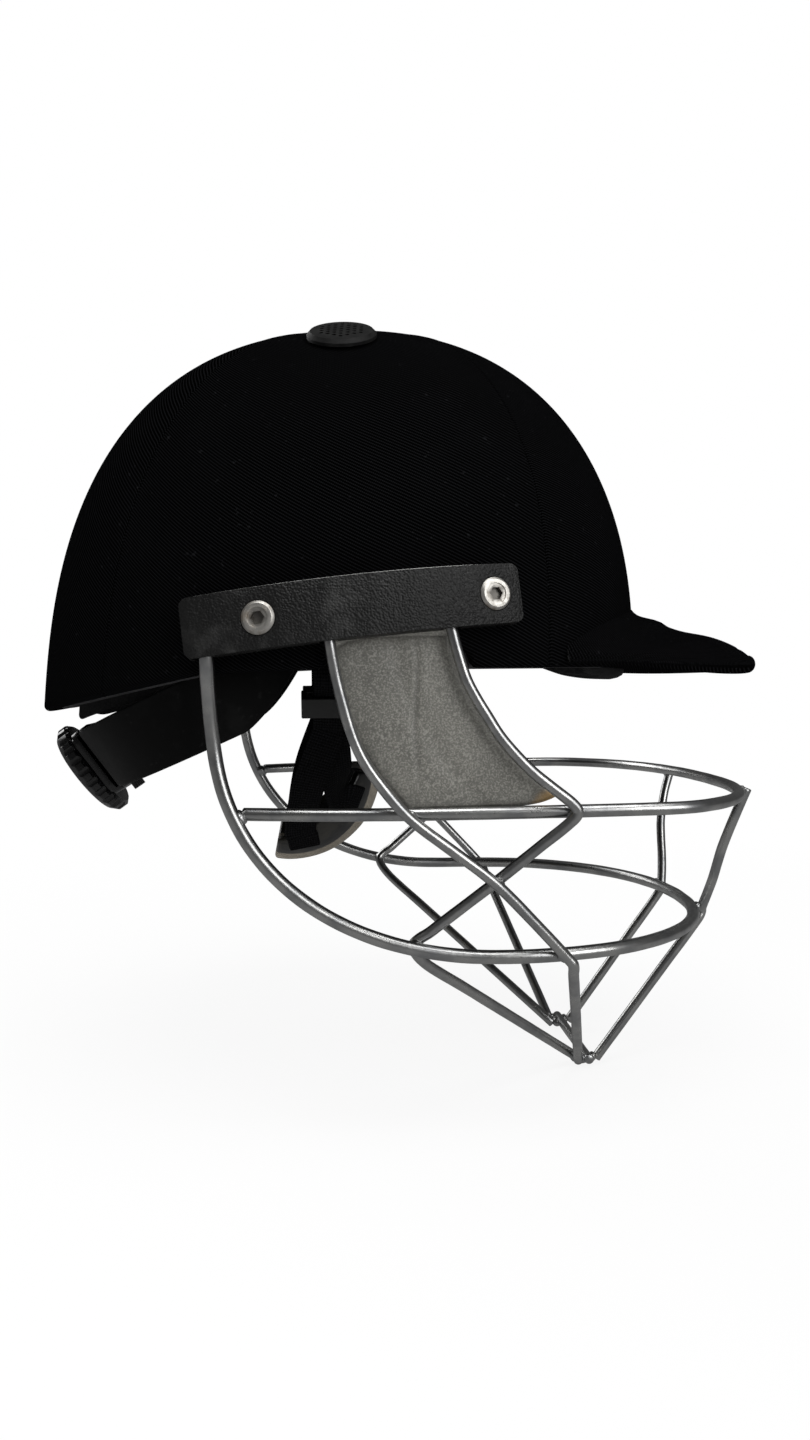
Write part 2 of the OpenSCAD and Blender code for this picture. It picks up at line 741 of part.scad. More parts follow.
cheek_cross = part_way(outside(ring_side(cheek_ring_x), ring_stand), outside(loop_side_at(cheek_loop_x), loop_stand),
  [0.562, 0.45, 0.49]);
cheek_end = [chin_x - bar_stand, 26.5, chin_z - 1];
jaw_end = [chin_x - bar_stand, 21.5, chin_z - 1];
front_end = [chin_x + bar_stand, 24.3, chin_z - 1];
module cheek_wire(side) {
  exit = side_point(cheek_exit.x, wire_n, cheek_exit.y);
  ring = outside(ring_side(cheek_ring_x), ring_stand);
  loop = outside(loop_side_at(cheek_loop_x), loop_stand);
  bend = loop + [2.4, -0.6, -3.2];
  leg = loop + [3.6, -5.3, -7.6];
  path = concat(
    [side_point(cheek_top.x, wire_n, cheek_top.y),
      side_point(mix(cheek_top.x, cheek_exit.x, 0.5), wire_n, mix(cheek_top.y, cheek_exit.y, 0.5)), exit],
    [for (f = [[0.07, 0.3, 0.176], [0.195, 0.5, 0.4], [0.358, 0.68, 0.61], [0.603, 0.84, 0.789]])
      part_way(exit, ring, f)],
    [ring],
    [for (f = [[0.2, 0.13, 0.178], [0.39, 0.3, 0.335]]) part_way(ring, loop, f)],
    [cheek_cross, part_way(ring, loop, [0.765, 0.7, 0.72]), loop, bend, leg],
    [for (f = [0.2, 0.6, 1]) mix(leg, cheek_end, f)]);
  color("#bfc0be")
  mirrored(side)
  tube(curve(path, 2), wire_d, 8);
}
module left_cheek_wire() {
  cheek_wire(1);
}
module right_cheek_wire() {
  cheek_wire(-1);
}
module jaw_wire(side) {
  exit = side_point(jaw_exit.x, wire_n, jaw_exit.y);
  ring = outside([jaw_ring_x, ring_half_w, ring_z + 0.8], ring_stand);
  cross_point = [cheek_cross.x, cheek_cross.y - wire_d - weld_gap, cheek_cross.z + 1];
  loop = outside(loop_heel(jaw_loop_a), -loop_stand);
  leg = loop + [4.6, -5.5, -8];
  path = concat(
    [side_point(jaw_top.x, wire_n, jaw_top.y),
      side_point(mix(jaw_top.x, jaw_exit.x, 0.5), wire_n, mix(jaw_top.y, jaw_exit.y, 0.5)), exit],
    [for (f = [[0.105, 0.6, 0.263], [0.28, 0.85, 0.48], [0.416, 0.93, 0.62], [0.64, 0.98, 0.785], [0.876, 1, 0.915]])
      part_way(exit, ring, f)],
    [ring, ring + [-2.6, -0.9, -4.4]],
    [for (f = [0.32, 0.66]) mix(ring + [-2.6, -0.9, -4.4], cross_point, f)],
    [cross_point],
    [for (f = [0.3, 0.6, 0.88]) mix(cross_point, loop + [2, 0.6, 2.4], f)],
    [loop + [-0.4, 0, 0.2], leg],
    [for (f = [0.2, 0.6, 1]) mix(leg, jaw_end, f)]);
  color("#bfc0be")
  mirrored(side)
  tube(curve(path, 2), wire_d, 8);
}
module left_jaw_wire() {
  jaw_wire(1);
}
module right_jaw_wire() {
  jaw_wire(-1);
}
module front_wire(side) {
  top_normal = unit([0.93, 0.37, 0]);
  low_normal = unit([0.98, 0.2, 0]);
  top = ring_nose_at(43.5) + ring_stand * top_normal;
  low = loop_nose_at(25) + loop_stand * low_normal;
  leg = low + [-1.8, -0.1, -5.2];
  path = concat(
    [top + [0.6, 0.4, 3.2], top],
    [for (f = [[0.345, 0.105, 0.21], [0.66, 0.36, 0.48], [0.8, 0.68, 0.75]]) part_way(top, low, f)],
    [low, leg],
    [for (f = [0.3, 0.65, 1]) mix(leg, front_end, f)]);
  color("#bfc0be")
  mirrored(side)
  tube(curve(path, 2), wire_d, 8);
}
module left_front_wire() {
  front_wire(1);
}
module right_front_wire() {
  front_wire(-1);
}
module chin_bar() {
  color("#bfc0be")
  translate([chin_x, 0, chin_z])
  rotate([90, 0, 0])
  cylinder(h = 2 * chin_half_l, d = wire_d, center = true, $fn = fine);
}

// Ear guards: moulded pads behind the cheek and jaw wires, with a thin flange under the strip
module ear_guard(side) {
  bottom_z = ring_z + ring_d / 2 + soft_gap;
  function top_z(a) = ear_top_z - 4 - 4 * pow(1 - a, 6);
  function flange_z(a) = [side_z - 1, ear_top_z + 1, top_z(a) + 0.8];
  cols = 12;
  rows = 12;
  edge_t = 3;
  function across(i) = (1 - cos(180 * i / cols)) / 2;
  function down(j) = (1 - cos(180 * j / rows)) / 2;
  function rear_x(f) = ear_x - 22 + 24.5 * pow(f, 2.1);
  function front_x(f) = ear_x + 16.4 + 36 * pow(f, 1.7);
  function crease(a) = exp(-pow((a - 0.52) / 0.06, 2));
  function face_y(a, f) = mix(mix(shell_half_w + 1.4, shell_half_w - 2.4, a), ring_half_w + 0.2, ease(f * 1.4));
  function crown(a, f) = pillow(2 * a - 1, 2 * f - 1);
  function outer(a, f) = [
    mix(rear_x(f), front_x(f), a),
    face_y(a, f) - 1.2 * (1 - crown(a, f)) - 0.7 * crease(a),
    mix(top_z(a), bottom_z, f) + 3 * pow(a, 8) * pow(f, 6)];
  function inner(a, f) = let (p = outer(a, f)) [p.x, p.y - edge_t - (ear_guard_t - edge_t) * crown(a, f), p.z];
  function flange(a, n) = [for (z = flange_z(a)) let (
      x = mix(rear_x(0), front_x(0), a),
      s = (x - side_x) * cos(side_tilt) + (z - side_z) * sin(side_tilt),
      h = (z - side_z) * cos(side_tilt) - (x - side_x) * sin(side_tilt))
    side_point(s, n, h)];
  color("#7c7972")
  mirrored(side)
  slab(
    concat(
      [for (k = [0:2]) [for (i = [0:cols]) flange(across(i), strip_n - layer_gap)[k]]],
      [for (j = [0:rows]) [for (i = [0:cols]) outer(across(i), down(j))]]),
    concat(
      [for (k = [0:2]) [for (i = [0:cols]) flange(across(i), strip_n - layer_gap - ear_flange_t)[k]]],
      [for (j = [0:rows]) [for (i = [0:cols]) inner(across(i), down(j))]]));
}
module left_ear_guard() {
  ear_guard(1);
}
module right_ear_guard() {
  ear_guard(-1);
}

// The harness: two arms that hang on studs in the shell and slide in a ratchet at the nape
band_x = -27;
band_z = -3;
band_front = -13;
arm_layer = band_t / 2 + layer_gap;
rack_end = 0.75 * ratchet_travel;
housing_half = 21;
band_flat = housing_half - 4;
band_corner = band_half_w - band_flat;
pinion_teeth = 10;
tooth_module = 0.9;
tooth_gap = 0.1;
pitch_r = pinion_teeth * tooth_module / 2;
tooth_pitch = PI * tooth_module;
slot_half = arm_layer + band_t / 2 + layer_gap;
housing_t = 3.2;
housing_h = band_w + 5;
shaft_d = 6.4;
dial_z = slot_half + housing_t + soft_gap;
dial_t = 7;

back = [-cos(band_slope), 0, -sin(band_slope)];
rise = [-sin(band_slope), 0, cos(band_slope)];
function on_band(b, y, h) = [band_x, y, band_z] + b * back + h * rise;
dial_place = on_band(band_reach, 0, 0);
module at_dial() {
  translate(dial_place)
  rotate([0, -90 - dial_slope, 0])
  children();
}
// Stations of the left arm: distance back, width, turn of the band and shift into its layer
arm_stations = concat(
  [for (y = [-rack_end, 0, 8, housing_half]) [band_reach, y, 0, 1]],
  [for (a = [10:10:90]) [band_reach - band_corner + band_corner * cos(a), band_flat + band_corner * sin(a), a,
    1 - ease(a / 60)]],
  [for (b = [18, 12, 6, 0, -4, -8, band_front]) [b, band_half_w, 90, 0]]);
module arm(layer) {
  lean_max = dial_slope - band_slope;
  function bottom(b) = -band_w / 2 + 15 * pow(clamp((15 - b) / 28), 1.4);
  function top(b) = band_w / 2 + 6 * ease((14 - b) / 20);
  function section(s, out) = let (
      tilt = lean_max * pow(cos(s[2]), 2),
      across = [0, sin(s[2]), 0] + cos(s[2]) * back,
      up = cos(tilt) * rise + sin(tilt) * across,
      face = cos(tilt) * across - sin(tilt) * rise,
      middle = on_band(s[0], s[1], 0) + (layer * arm_layer * s[3] + out) * face,
      front = s[2] == 90)
    [for (h = [0, 0.5, 1]) middle + up * mix(front ? bottom(s[0]) : -band_w / 2, front ? top(s[0]) : band_w / 2, h)];
  slab([for (s = arm_stations) section(s, band_t / 2)], [for (s = arm_stations) section(s, -band_t / 2)]);
}
// Window of the left arm, with the rack's tooth gaps along one edge
module rack_window() {
  low = -pitch_r - tooth_module - 0.6;
  tip = pitch_r - tooth_module + 0.15;
  far = ratchet_travel + pitch_r + 1.5;
  near = -rack_end + 2.6;
  linear_extrude(8 * band_t, center = true)
  union() {
    translate([low, near])
    square([tip - low, far - near]);
    for (k = [floor((near + 1.2) / tooth_pitch):floor((far - 1.2) / tooth_pitch)])
    if (k * tooth_pitch - 1.2 > near)
    translate([tip - 0.01, k * tooth_pitch])
    polygon([[0, -1.05], [2 * tooth_module + 0.15, -0.5], [2 * tooth_module + 0.15, 0.5], [0, 1.05]]);
  }
}
module left_arm() {
  color("#16171a")
  difference() {
    arm(1);
    at_dial()
    rack_window();
    at_studs(harness_x, harness_z, band_half_w - 3)
    cylinder(h = 6, d = stud_d + 2 * stud_fit, $fn = fine);
  }
}
module right_arm() {
  color("#16171a")
  difference() {
    mirrored(-1)
    arm(-1);
    at_dial()
    rotate([0, 0, 180])
    rack_window();
    at_studs(harness_x, harness_z, band_half_w - 3)
    cylinder(h = 6, d = stud_d + 2 * stud_fit, $fn = fine);
  }
}
// A stud: a flange under the shell, a shank and a head inside the piece it carries
module stud(x, inner_y) {
  flange_y = shell_inner_y(x) - stud_head_t - 0.1;
  rotate_extrude($fn = fine)
  polygon([[0, -stud_head_t], [stud_head_d / 2 - 0.5, -stud_head_t], [stud_head_d / 2, -stud_head_t / 2],
    [stud_head_d / 2, 0], [stud_d / 2, 0], [stud_d / 2, flange_y - inner_y], [stud_head_d / 2, flange_y - inner_y],
    [stud_head_d / 2, flange_y - inner_y + stud_head_t], [0, flange_y - inner_y + stud_head_t]]);
}
module harness_rivets() {
  inner_y = band_half_w - band_t / 2 - soft_gap;
  color("#2a2b2e")
  at_studs(harness_x, harness_z, inner_y)
  stud(harness_x, inner_y);
}
strap_y = band_half_w + 2.6;
module strap_rivets() {
  inner_y = strap_y - webbing_t / 2 - soft_gap;
  color("#2a2b2e")
  at_studs(strap_x, strap_z, inner_y)
  stud(strap_x, inner_y);
}

// Flat block with round corners, in the dial's frame
module dial_block(height, width, r, z, t) {
  translate([0, 0, z])
  linear_extrude(t)
  union() {
    square([height - 2 * r, width], center = true);
    square([height, width - 2 * r], center = true);
    for (x = [-1, 1])
    for (y = [-1, 1])
    translate([x * (height / 2 - r), y * (width / 2 - r)])
    circle(r, $fn = 32);
  }
}
module ratchet_housing() {
  color("#101113")
  at_dial()
  difference() {
    union() {
      dial_block(housing_h, 2 * housing_half, 5, 0, slot_half + housing_t - 1);
      dial_block(housing_h - 3, 2 * housing_half - 3, 4, slot_half, housing_t);
    }
    translate([-band_w / 2 - 0.4, -housing_half - 1, -1])
    cube([band_w + 0.8, 2 * housing_half + 2, 1 + slot_half]);
    cylinder(h = 6 * housing_t, d = shaft_d + 0.4, center = true, $fn = fine);
  }
}
module ratchet_cover() {
  cover_t = 2;
  rib_gap = 4;
  color("#55575a")
  at_dial()
  difference() {
    union() {
      dial_block(housing_h, 2 * housing_half, 5, -slot_half - cover_t, slot_half + cover_t - layer_gap);
      for (y = [-2:2])
      translate([-housing_h / 2 - 3, y * rib_gap - 0.8, -slot_half - cover_t])
      cube([6, 1.6, cover_t]);
    }
    translate([-band_w / 2 - 0.4, -housing_half - 1, -slot_half])
    cube([band_w + 0.8, 2 * housing_half + 2, 2 * slot_half]);
  }
}
module nape_pad() {
  cover_back = -slot_half - 2 - layer_gap;
  cols = 10;
  rows = 10;
  function at(i, n) = -cos(180 * i / n);
  function spot(i, j, t) = [at(j, rows) * housing_h * 0.45, at(i, cols) * housing_half * 0.95, cover_back - t];
  function lift(i, j) = 1.2 + 4.6 * pillow(at(i, cols), at(j, rows)) * channel(at(i, cols), [-0.33, 0.33]);
  color("#1c1d20")
  at_dial()
  slab(
    [for (j = [0:rows]) [for (i = [0:cols]) spot(i, j, lift(i, j))]],
    [for (j = [0:rows]) [for (i = [0:cols]) spot(i, j, 0)]]);
}
module dial_knob() {
  grips = 24;
  color("#0c0c0e")
  at_dial()
  translate([0, 0, dial_z])
  difference() {
    rotate_extrude($fn = 96)
    polygon([[0, 0], [dial_d / 2 - 1.5, 0], [dial_d / 2, 1.5], [dial_d / 2, dial_t - 2.4], [dial_d / 2 - 2.4, dial_t],
      [dial_d / 4, dial_t], [dial_d / 4 - 2, dial_t - 1.4], [0, dial_t - 1.4]]);
    for (i = [0:grips - 1])
    rotate([0, 0, i * 360 / grips])
    translate([dial_d / 2 + 0.7, 0, -1])
    cylinder(h = dial_t + 2, d = 3.4, $fn = 20);
    translate([-2.3, -2.3, -1])
    cube([4.6, 4.6, 1 + dial_t - 3]);
  }
}
module dial_pinion() {
  root_r = pitch_r - tooth_module - 0.25;
  tip_r = pitch_r + tooth_module - 0.25;
  half_tip = 0.3;
  half_root = 0.75;
  color("#77797c")
  at_dial()
  union() {
    translate([0, 0, -slot_half + tooth_gap])
    linear_extrude(2 * slot_half - 2 * tooth_gap)
    union() {
      circle(root_r, $fn = fine);
      for (i = [0:pinion_teeth - 1])
      rotate([0, 0, i * 360 / pinion_teeth])
      polygon([[root_r - 0.4, -half_root], [tip_r, -half_tip], [tip_r, half_tip], [root_r - 0.4, half_root]]);
    }
    cylinder(h = dial_z - 0.1, d = shaft_d, $fn = fine);
    translate([-2.2, -2.2, 0])
    cube([4.4, 4.4, dial_z + dial_t - 3.4]);
  }
}

// The chin strap: two forked straps that hang from studs and carry the cup
cup_x = -20;
function on_cup(a, b, r) = [cup_x + r * cos(b) * cos(a), r * sin(b), cup_z - r * cos(b) * sin(a)];
fork_in = 16;
fork_drop = 34;
fork = [strap_x - 0.5, strap_y - fork_in, strap_z - fork_drop];
strap_main = [
  [strap_x, strap_y, strap_z + 6],
  [strap_x, strap_y, strap_z - 7],
  [strap_x, strap_y - 2.2, strap_z - 15],
  fork];
strap_across = [1, 0, -0.15];
webbing_stand = webbing_t / 2 + soft_gap;
// A branch from the fork to its seat on the cup, as [points, directions across the webbing]
function branch(turn, push) = let (
    across = [sin(turn), 0, cos(turn)],
    seat = [for (b = [60, 50, 41]) on_cup(turn, b, cup_r + webbing_stand + (b > 55 ? 1 : 0))])
  [concat([fork, mix(fork, seat[0], 0.5) + push], seat),
    [strap_across, mix(strap_across, across, 0.4), across, across, across]];
module web(p, q, width) {
  path = curve(p, 2);
  turns = curve(q, 2);
  along = path_tangents(path);
  function across(i) = square_to(turns[i], along[i]);
  function edge(i, w, n) = path[i] + w * across(i) + n * cross(along[i], across(i));
  slab(
    [for (i = [0:len(path) - 1]) [for (w = [-0.5, 0.5]) edge(i, w * width, -webbing_t / 2)]],
    [for (i = [0:len(path) - 1]) [for (w = [-0.5, 0.5]) edge(i, w * width, webbing_t / 2)]]);
}
module webbing(side) {
  color("#111113")
  mirrored(side)
  difference() {
    union() {
      web(strap_main, [for (p = strap_main) strap_across], webbing_w);
      for (b = [branch(22, [0.5, 1.5, -1]), branch(80, [-2.5, 2, -2])])
      web(b[0], b[1], webbing_w * 0.75);
    }
    at_studs(strap_x, strap_z, strap_y - 3)
    cylinder(h = 6, d = stud_d + 2 * stud_fit, $fn = fine);
  }
}
module left_webbing() {
  webbing(1);
}
module right_webbing() {
  webbing(-1);
}
module strap_sliders() {
  slider_h = 9;
  start = strap_main[2];
  along = unit(fork - start);
  place = mix(start, fork, 0.5);
  for (side = [-1, 1])
  color("#1a1b1d")
  mirrored(side)
  translate(place)
  rotate([atan2(along.y, -along.z), 0, 0])
  difference() {
    cube([webbing_w + 7, webbing_t + 4.4, slider_h], center = true);
    cube([webbing_w + 3, webbing_t + 1.6, slider_h + 2], center = true);
  }
}
module cup_patch(r, t, reach, spread) {
  rows = 10;
  cols = 12;
  function turn(j) = mix(reach[0], reach[1], j / rows);
  function swing(i, j) = spread * (2 * i / cols - 1) * (1 - 0.22 * pow(2 * j / rows - 1, 2));
  slab(
    [for (j = [0:rows]) [for (i = [0:cols]) on_cup(turn(j), swing(i, j), r - t)]],
    [for (j = [0:rows]) [for (i = [0:cols]) on_cup(turn(j), swing(i, j), r)]]);
}
module chin_cup() {
  color("#6f6a60")
  cup_patch(cup_r, cup_t, [0, 100], 54);
}
module cup_lining() {
  color("#151517")
  cup_patch(cup_r - cup_t - layer_gap, 1.4, [4, 96], 48);
}

outer_shell();
front_cover_panel();
rear_cover_panel();
left_cover_panel();
right_cover_panel();
peak_board();
peak_cover();
vent_caps();
foam_liner();
brow_pad();
crown_pad();
rear_pad();
left_side_pad();
right_side_pad();
left_side_plate();
right_side_plate();
left_plate_strip();
right_plate_strip();
plate_screws();
tee_nuts();
lower_loop();
top_ring();
left_cheek_wire();
right_cheek_wire();
left_jaw_wire();
right_jaw_wire();
left_front_wire();
right_front_wire();
chin_bar();
left_ear_guard();
right_ear_guard();
harness_rivets();
strap_rivets();
left_arm();
right_arm();
ratchet_housing();
ratchet_cover();
nape_pad();
dial_knob();
dial_pinion();
left_webbing();
right_webbing();
strap_sliders();
chin_cup();
cup_lining();
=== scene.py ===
"""A cricket batting helmet with a welded wire face guard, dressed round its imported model.

All places are in metres in the helmet's own frame: +X is the front, +Y the wearer's left, +Z up.
"""
import math

import bmesh
import bpy
import numpy as np
from mathutils import Matrix, Vector


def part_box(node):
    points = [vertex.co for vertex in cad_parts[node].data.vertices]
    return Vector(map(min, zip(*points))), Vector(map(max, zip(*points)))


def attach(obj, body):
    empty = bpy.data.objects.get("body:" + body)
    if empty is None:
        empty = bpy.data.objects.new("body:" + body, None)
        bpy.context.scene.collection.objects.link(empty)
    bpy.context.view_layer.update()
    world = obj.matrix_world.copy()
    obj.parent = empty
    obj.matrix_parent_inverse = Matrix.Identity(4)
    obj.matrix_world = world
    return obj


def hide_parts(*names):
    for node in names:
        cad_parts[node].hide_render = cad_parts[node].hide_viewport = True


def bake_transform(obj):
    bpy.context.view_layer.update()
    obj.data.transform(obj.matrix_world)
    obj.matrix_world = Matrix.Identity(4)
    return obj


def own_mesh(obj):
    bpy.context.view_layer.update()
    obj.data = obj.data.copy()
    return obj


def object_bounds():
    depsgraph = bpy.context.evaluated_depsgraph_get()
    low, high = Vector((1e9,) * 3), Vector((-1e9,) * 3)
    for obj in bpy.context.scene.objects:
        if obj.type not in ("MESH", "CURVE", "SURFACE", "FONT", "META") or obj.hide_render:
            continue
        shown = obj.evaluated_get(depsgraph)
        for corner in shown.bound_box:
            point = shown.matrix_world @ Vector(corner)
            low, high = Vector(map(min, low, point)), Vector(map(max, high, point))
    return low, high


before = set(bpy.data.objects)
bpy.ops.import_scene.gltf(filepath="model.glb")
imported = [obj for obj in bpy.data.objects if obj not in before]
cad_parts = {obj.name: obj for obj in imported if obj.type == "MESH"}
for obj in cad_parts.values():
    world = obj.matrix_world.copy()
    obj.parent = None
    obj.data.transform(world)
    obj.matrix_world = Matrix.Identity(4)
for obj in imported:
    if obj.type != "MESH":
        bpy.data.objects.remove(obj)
cad_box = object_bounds()
mm = 0.001


# The camera.
# It stands level with the head opening on the wearer's right, 46 cm away. The lines that run from
# one side of the helmet to the other meet in the photograph at one pixel, which gives its turn.
photo_size = (810, 1440)
focal_px = 1060
side_lines_meet = (307, 673)
level_slope = -0.0152
camera_place = (-13 * mm, -460 * mm, 0)
film_width = 36


def linked(name, data):
    """A new object in the scene."""
    made = bpy.data.objects.new(name, data)
    bpy.context.scene.collection.objects.link(made)
    return made


def photo_camera():
    """+Y runs to the pixel where the side lines meet; +X is square to it and rises a little."""
    off_middle = np.array(side_lines_meet) - np.array(photo_size) / 2
    away = np.append(off_middle / focal_px, 1.0)
    away /= np.linalg.norm(away)
    front = np.array([1.0, level_slope, 0.0])
    front[2] = -(front @ away) / away[2]
    front /= np.linalg.norm(front)
    up = np.cross(front, away)
    seen = np.stack([front, away, up], axis=1)
    turn = Matrix([[seen[0][k], -seen[1][k], -seen[2][k]] for k in range(3)])
    camera = linked("photo_camera", bpy.data.cameras.new("photo_camera"))
    camera.data.sensor_width = film_width
    camera.data.lens = film_width * focal_px / photo_size[1]
    camera.data.clip_start = 0.01
    camera.data.clip_end = 20
    camera.matrix_world = Matrix.Translation(camera_place) @ turn.to_4x4()
    return camera


bpy.context.scene.camera = photo_camera()
bpy.context.scene.view_settings.view_transform = "Standard"


# The studio.
# Big soft lamps above and beside the helmet, over a white floor that keeps a faint shadow.
# Shaders are written as sums: a Value wraps a socket, and plain arithmetic on it adds Math nodes.
class Value:
    """A socket of a node; + - and * on it add Math nodes."""

    def __init__(self, nodes, socket):
        self.nodes = nodes
        self.socket = socket

    def math(self, operation, *others):
        return self.nodes.node("Math", {"operation": operation}, dict(enumerate((self,) + others)))

    def __add__(self, other):
        return self.math("ADD", other)

    def __sub__(self, other):
        return self.math("SUBTRACT", other)

    def __rsub__(self, other):
        return self.nodes.node("Math", {"operation": "SUBTRACT"}, {0: other, 1: self})

    def __mul__(self, other):
        return self.math("MULTIPLY", other)

    __radd__ = __add__
    __rmul__ = __mul__

    def above(self, edge, width):
        """0 below the edge and 1 above it, over a soft band of this width."""
        sockets = {"Value": self, "From Min": edge - width / 2, "From Max": edge + width / 2}
        return self.nodes.node("MapRange", {"interpolation_type": "SMOOTHSTEP"}, sockets)


class Nodes:
    """A node tree. Its node() method adds any node by type, settings and the values of its sockets."""

    def __init__(self, tree):
        self.tree = tree

    def node(self, kind, settings=None, sockets=None, output=0):
        """A new node's output, once its settings and then its sockets are set."""
        made = self.tree.nodes.new("ShaderNode" + kind)
        for key, value in (settings or {}).items():
            setattr(made, key, value)
        for key, value in (sockets or {}).items():
            self.feed(made.inputs[key], value)
        return Value(self, made.outputs[output])

    def feed(self, socket, value):
        """Links a value, or sets a number; for a colour, one number is a grey."""
        if isinstance(value, Value):
            self.tree.links.new(value.socket, socket)
        elif socket.type == "RGBA":
            socket.default_value = (*(value if isinstance(value, tuple) else (value,) * 3), 1)
        else:
            socket.default_value = value

    def seen_by(self, ray):
        """1 for rays of this kind."""
        return self.node("LightPath", output=f"Is {ray} Ray")


class Shader(Nodes):
    """One material, with a Principled surface."""

    def __init__(self, name, **finish):
        self.material = bpy.data.materials.new(name)
        self.material.use_nodes = True
        super().__init__(self.material.node_tree)
        self.tree.nodes.clear()
        self.out = self.tree.nodes.new("ShaderNodeOutputMaterial")
        self.surface = self.tree.nodes.new("ShaderNodeBsdfPrincipled")
        self.tree.links.new(self.surface.outputs[0], self.out.inputs[0])
        self.set(**finish)

    def set(self, **finish):
        """Sockets of the surface by name, with spaces written as underlines."""
        for key, value in finish.items():
            self.feed(self.surface.inputs[key.replace("_", " ")], value)

    def object_place(self):
        """The place on the piece in metres, which is the helmet's own frame."""
        return self.node("TexCoord", output="Object")

    def attribute(self, name):
        """A number that the mesh holds for each point."""
        return self.node("Attribute", {"attribute_name": name}, output="Fac")

    def noise(self, scale, detail=3, rough=0.5):
        """Soft blotches from 0 to 1, this many of them to a metre."""
        sockets = {"Vector": self.object_place(), "Scale": scale, "Detail": detail, "Roughness": rough}
        return self.node("TexNoise", {}, sockets)

    def cells(self, scale, **rounding):
        """Distance to the nearest of scattered points, rounded where a Smoothness is given."""
        return self.node("TexVoronoi", {"feature": "SMOOTH_F1" if rounding else "F1"},
                         {"Vector": self.object_place(), "Scale": scale, **rounding})

    def blend(self, mask, low, high):
        """A colour between two others."""
        return self.node("Mix", {"data_type": "RGBA"}, {0: mask, 6: low, 7: high}, output=2)

    def bump(self, height, distance, strength):
        """Feeds a height in units of the distance, in metres, to the surface's normal."""
        sockets = {"Height": height, "Distance": distance, "Strength": strength}
        self.set(Normal=self.node("Bump", {}, sockets))


floor_drop = 1.5 * mm
floor_size = 8.0
floor_z = cad_box[0].z - floor_drop
lit_r = 0.45
lit_fade = 0.6
lit_share = 0.12
mirrored_floor = 0.2
dim_air = 0.42
mirrored_air = 0.08
bpy.ops.mesh.primitive_plane_add(size=floor_size, location=(0, 0, floor_z))
floor = bpy.context.object
floor.name = "floor"

# The camera sees white, mixed near the helmet with the lit paper; bright metal mirrors grey.
paper = Shader("studio_paper", Base_Color=0.9, Roughness=0.9)
from_middle = paper.node("VectorMath", {"operation": "LENGTH"}, {0: paper.object_place()}, output=1)
shade_kept = (1 - from_middle.above(lit_r, lit_fade)) * lit_share
mirrored = paper.seen_by("Glossy")
seen = paper.seen_by("Camera").math("MAXIMUM", paper.seen_by("Transmission")).math("MAXIMUM", mirrored)
glow = paper.node("Emission", {}, {"Color": 1.0, "Strength": 1 - mirrored * (1 - mirrored_floor)})
layers = {0: seen * (1 - shade_kept), 1: Value(paper, paper.surface.outputs[0]), 2: glow}
paper.feed(paper.out.inputs[0], paper.node("MixShader", {}, layers))
floor.data.materials.append(paper.material)

world = bpy.data.worlds.new("studio_air")
bpy.context.scene.world = world
world.use_nodes = True
air = Nodes(world.node_tree)
sees_white = air.seen_by("Camera").math("MAXIMUM", air.seen_by("Transmission"))
dim = dim_air - air.seen_by("Glossy") * (dim_air - mirrored_air)
background = air.tree.nodes["Background"]
air.feed(background.inputs["Color"], 1.0)
air.feed(background.inputs["Strength"], dim + sees_white * (1 - dim))


def soft_lamp(name, place, aim, size, watts):
    """A square area lamp at a place, turned to face a point."""
    lamp = bpy.data.lights.new(name, "AREA")
    lamp.shape = "RECTANGLE"
    lamp.size = size[0]
    lamp.size_y = size[1]
    lamp.energy = watts
    holder = linked(name, lamp)
    holder.location = place
    holder.rotation_euler = (Vector(aim) - Vector(place)).to_track_quat("-Z", "Y").to_euler()


soft_lamp("ceiling_lamp", (0.1, -0.5, 1.3), (0, 0, 0.02), (1.2, 0.8), 13)
soft_lamp("window_lamp", (0.9, -1.2, 0.45), (0.02, 0, -0.02), (0.8, 1.0), 9)
soft_lamp("far_lamp", (-0.9, 0.9, 0.7), (0, 0, 0), (0.9, 0.9), 8)


# The outer shell.
# Moulded from black plastic; the cloth hides all but its rim. Its dome is a superellipse in plan and
# in section, a little squarer behind than in front, and every layer of the helmet repeats its form.
shell_front = 126 * mm
shell_rear = 121.5 * mm
shell_half_w = 101 * mm
crown_z = 141 * mm
crown_shift = 12 * mm
dome_base = -14 * mm
front_power = 2.27
rear_power = 2.55
liner_inset = 4.5 * mm
inner_inset = 12.5 * mm


def dome_power(u):
    """The squareness at an azimuth: the front power ahead and the rear power behind."""
    return front_power + (rear_power - front_power) * np.maximum(-np.cos(u), 0) ** 2


def dome(u, v, inset):
    """Plan ellipse times cos(v)^(2/power), raised by sin(v)^(2/power), all brought in by the inset."""
    power = 2 / dome_power(u)
    reach = np.where(np.cos(u) > 0, shell_front, shell_rear) - inset
    low = np.maximum(np.cos(v), 0) ** power
    high = np.maximum(np.sin(v), 0) ** power
    return np.stack([reach * np.cos(u) * low + crown_shift * high,
                     (shell_half_w - inset) * np.sin(u) * low,
                     dome_base + (crown_z - dome_base - inset) * high], axis=-1)


def rise_at(u, z):
    """The rise v at which the dome reaches a height."""
    level = np.clip((z - dome_base) / (crown_z - dome_base), 0, 1)
    return np.arcsin(level ** (dome_power(u) / 2))


rim_z = 3.5 * mm
rim_rear_z = -12.5 * mm
rim_fall_x = -50 * mm
ear_x = 19 * mm
ear_half = 27 * mm
ear_top_z = 16 * mm


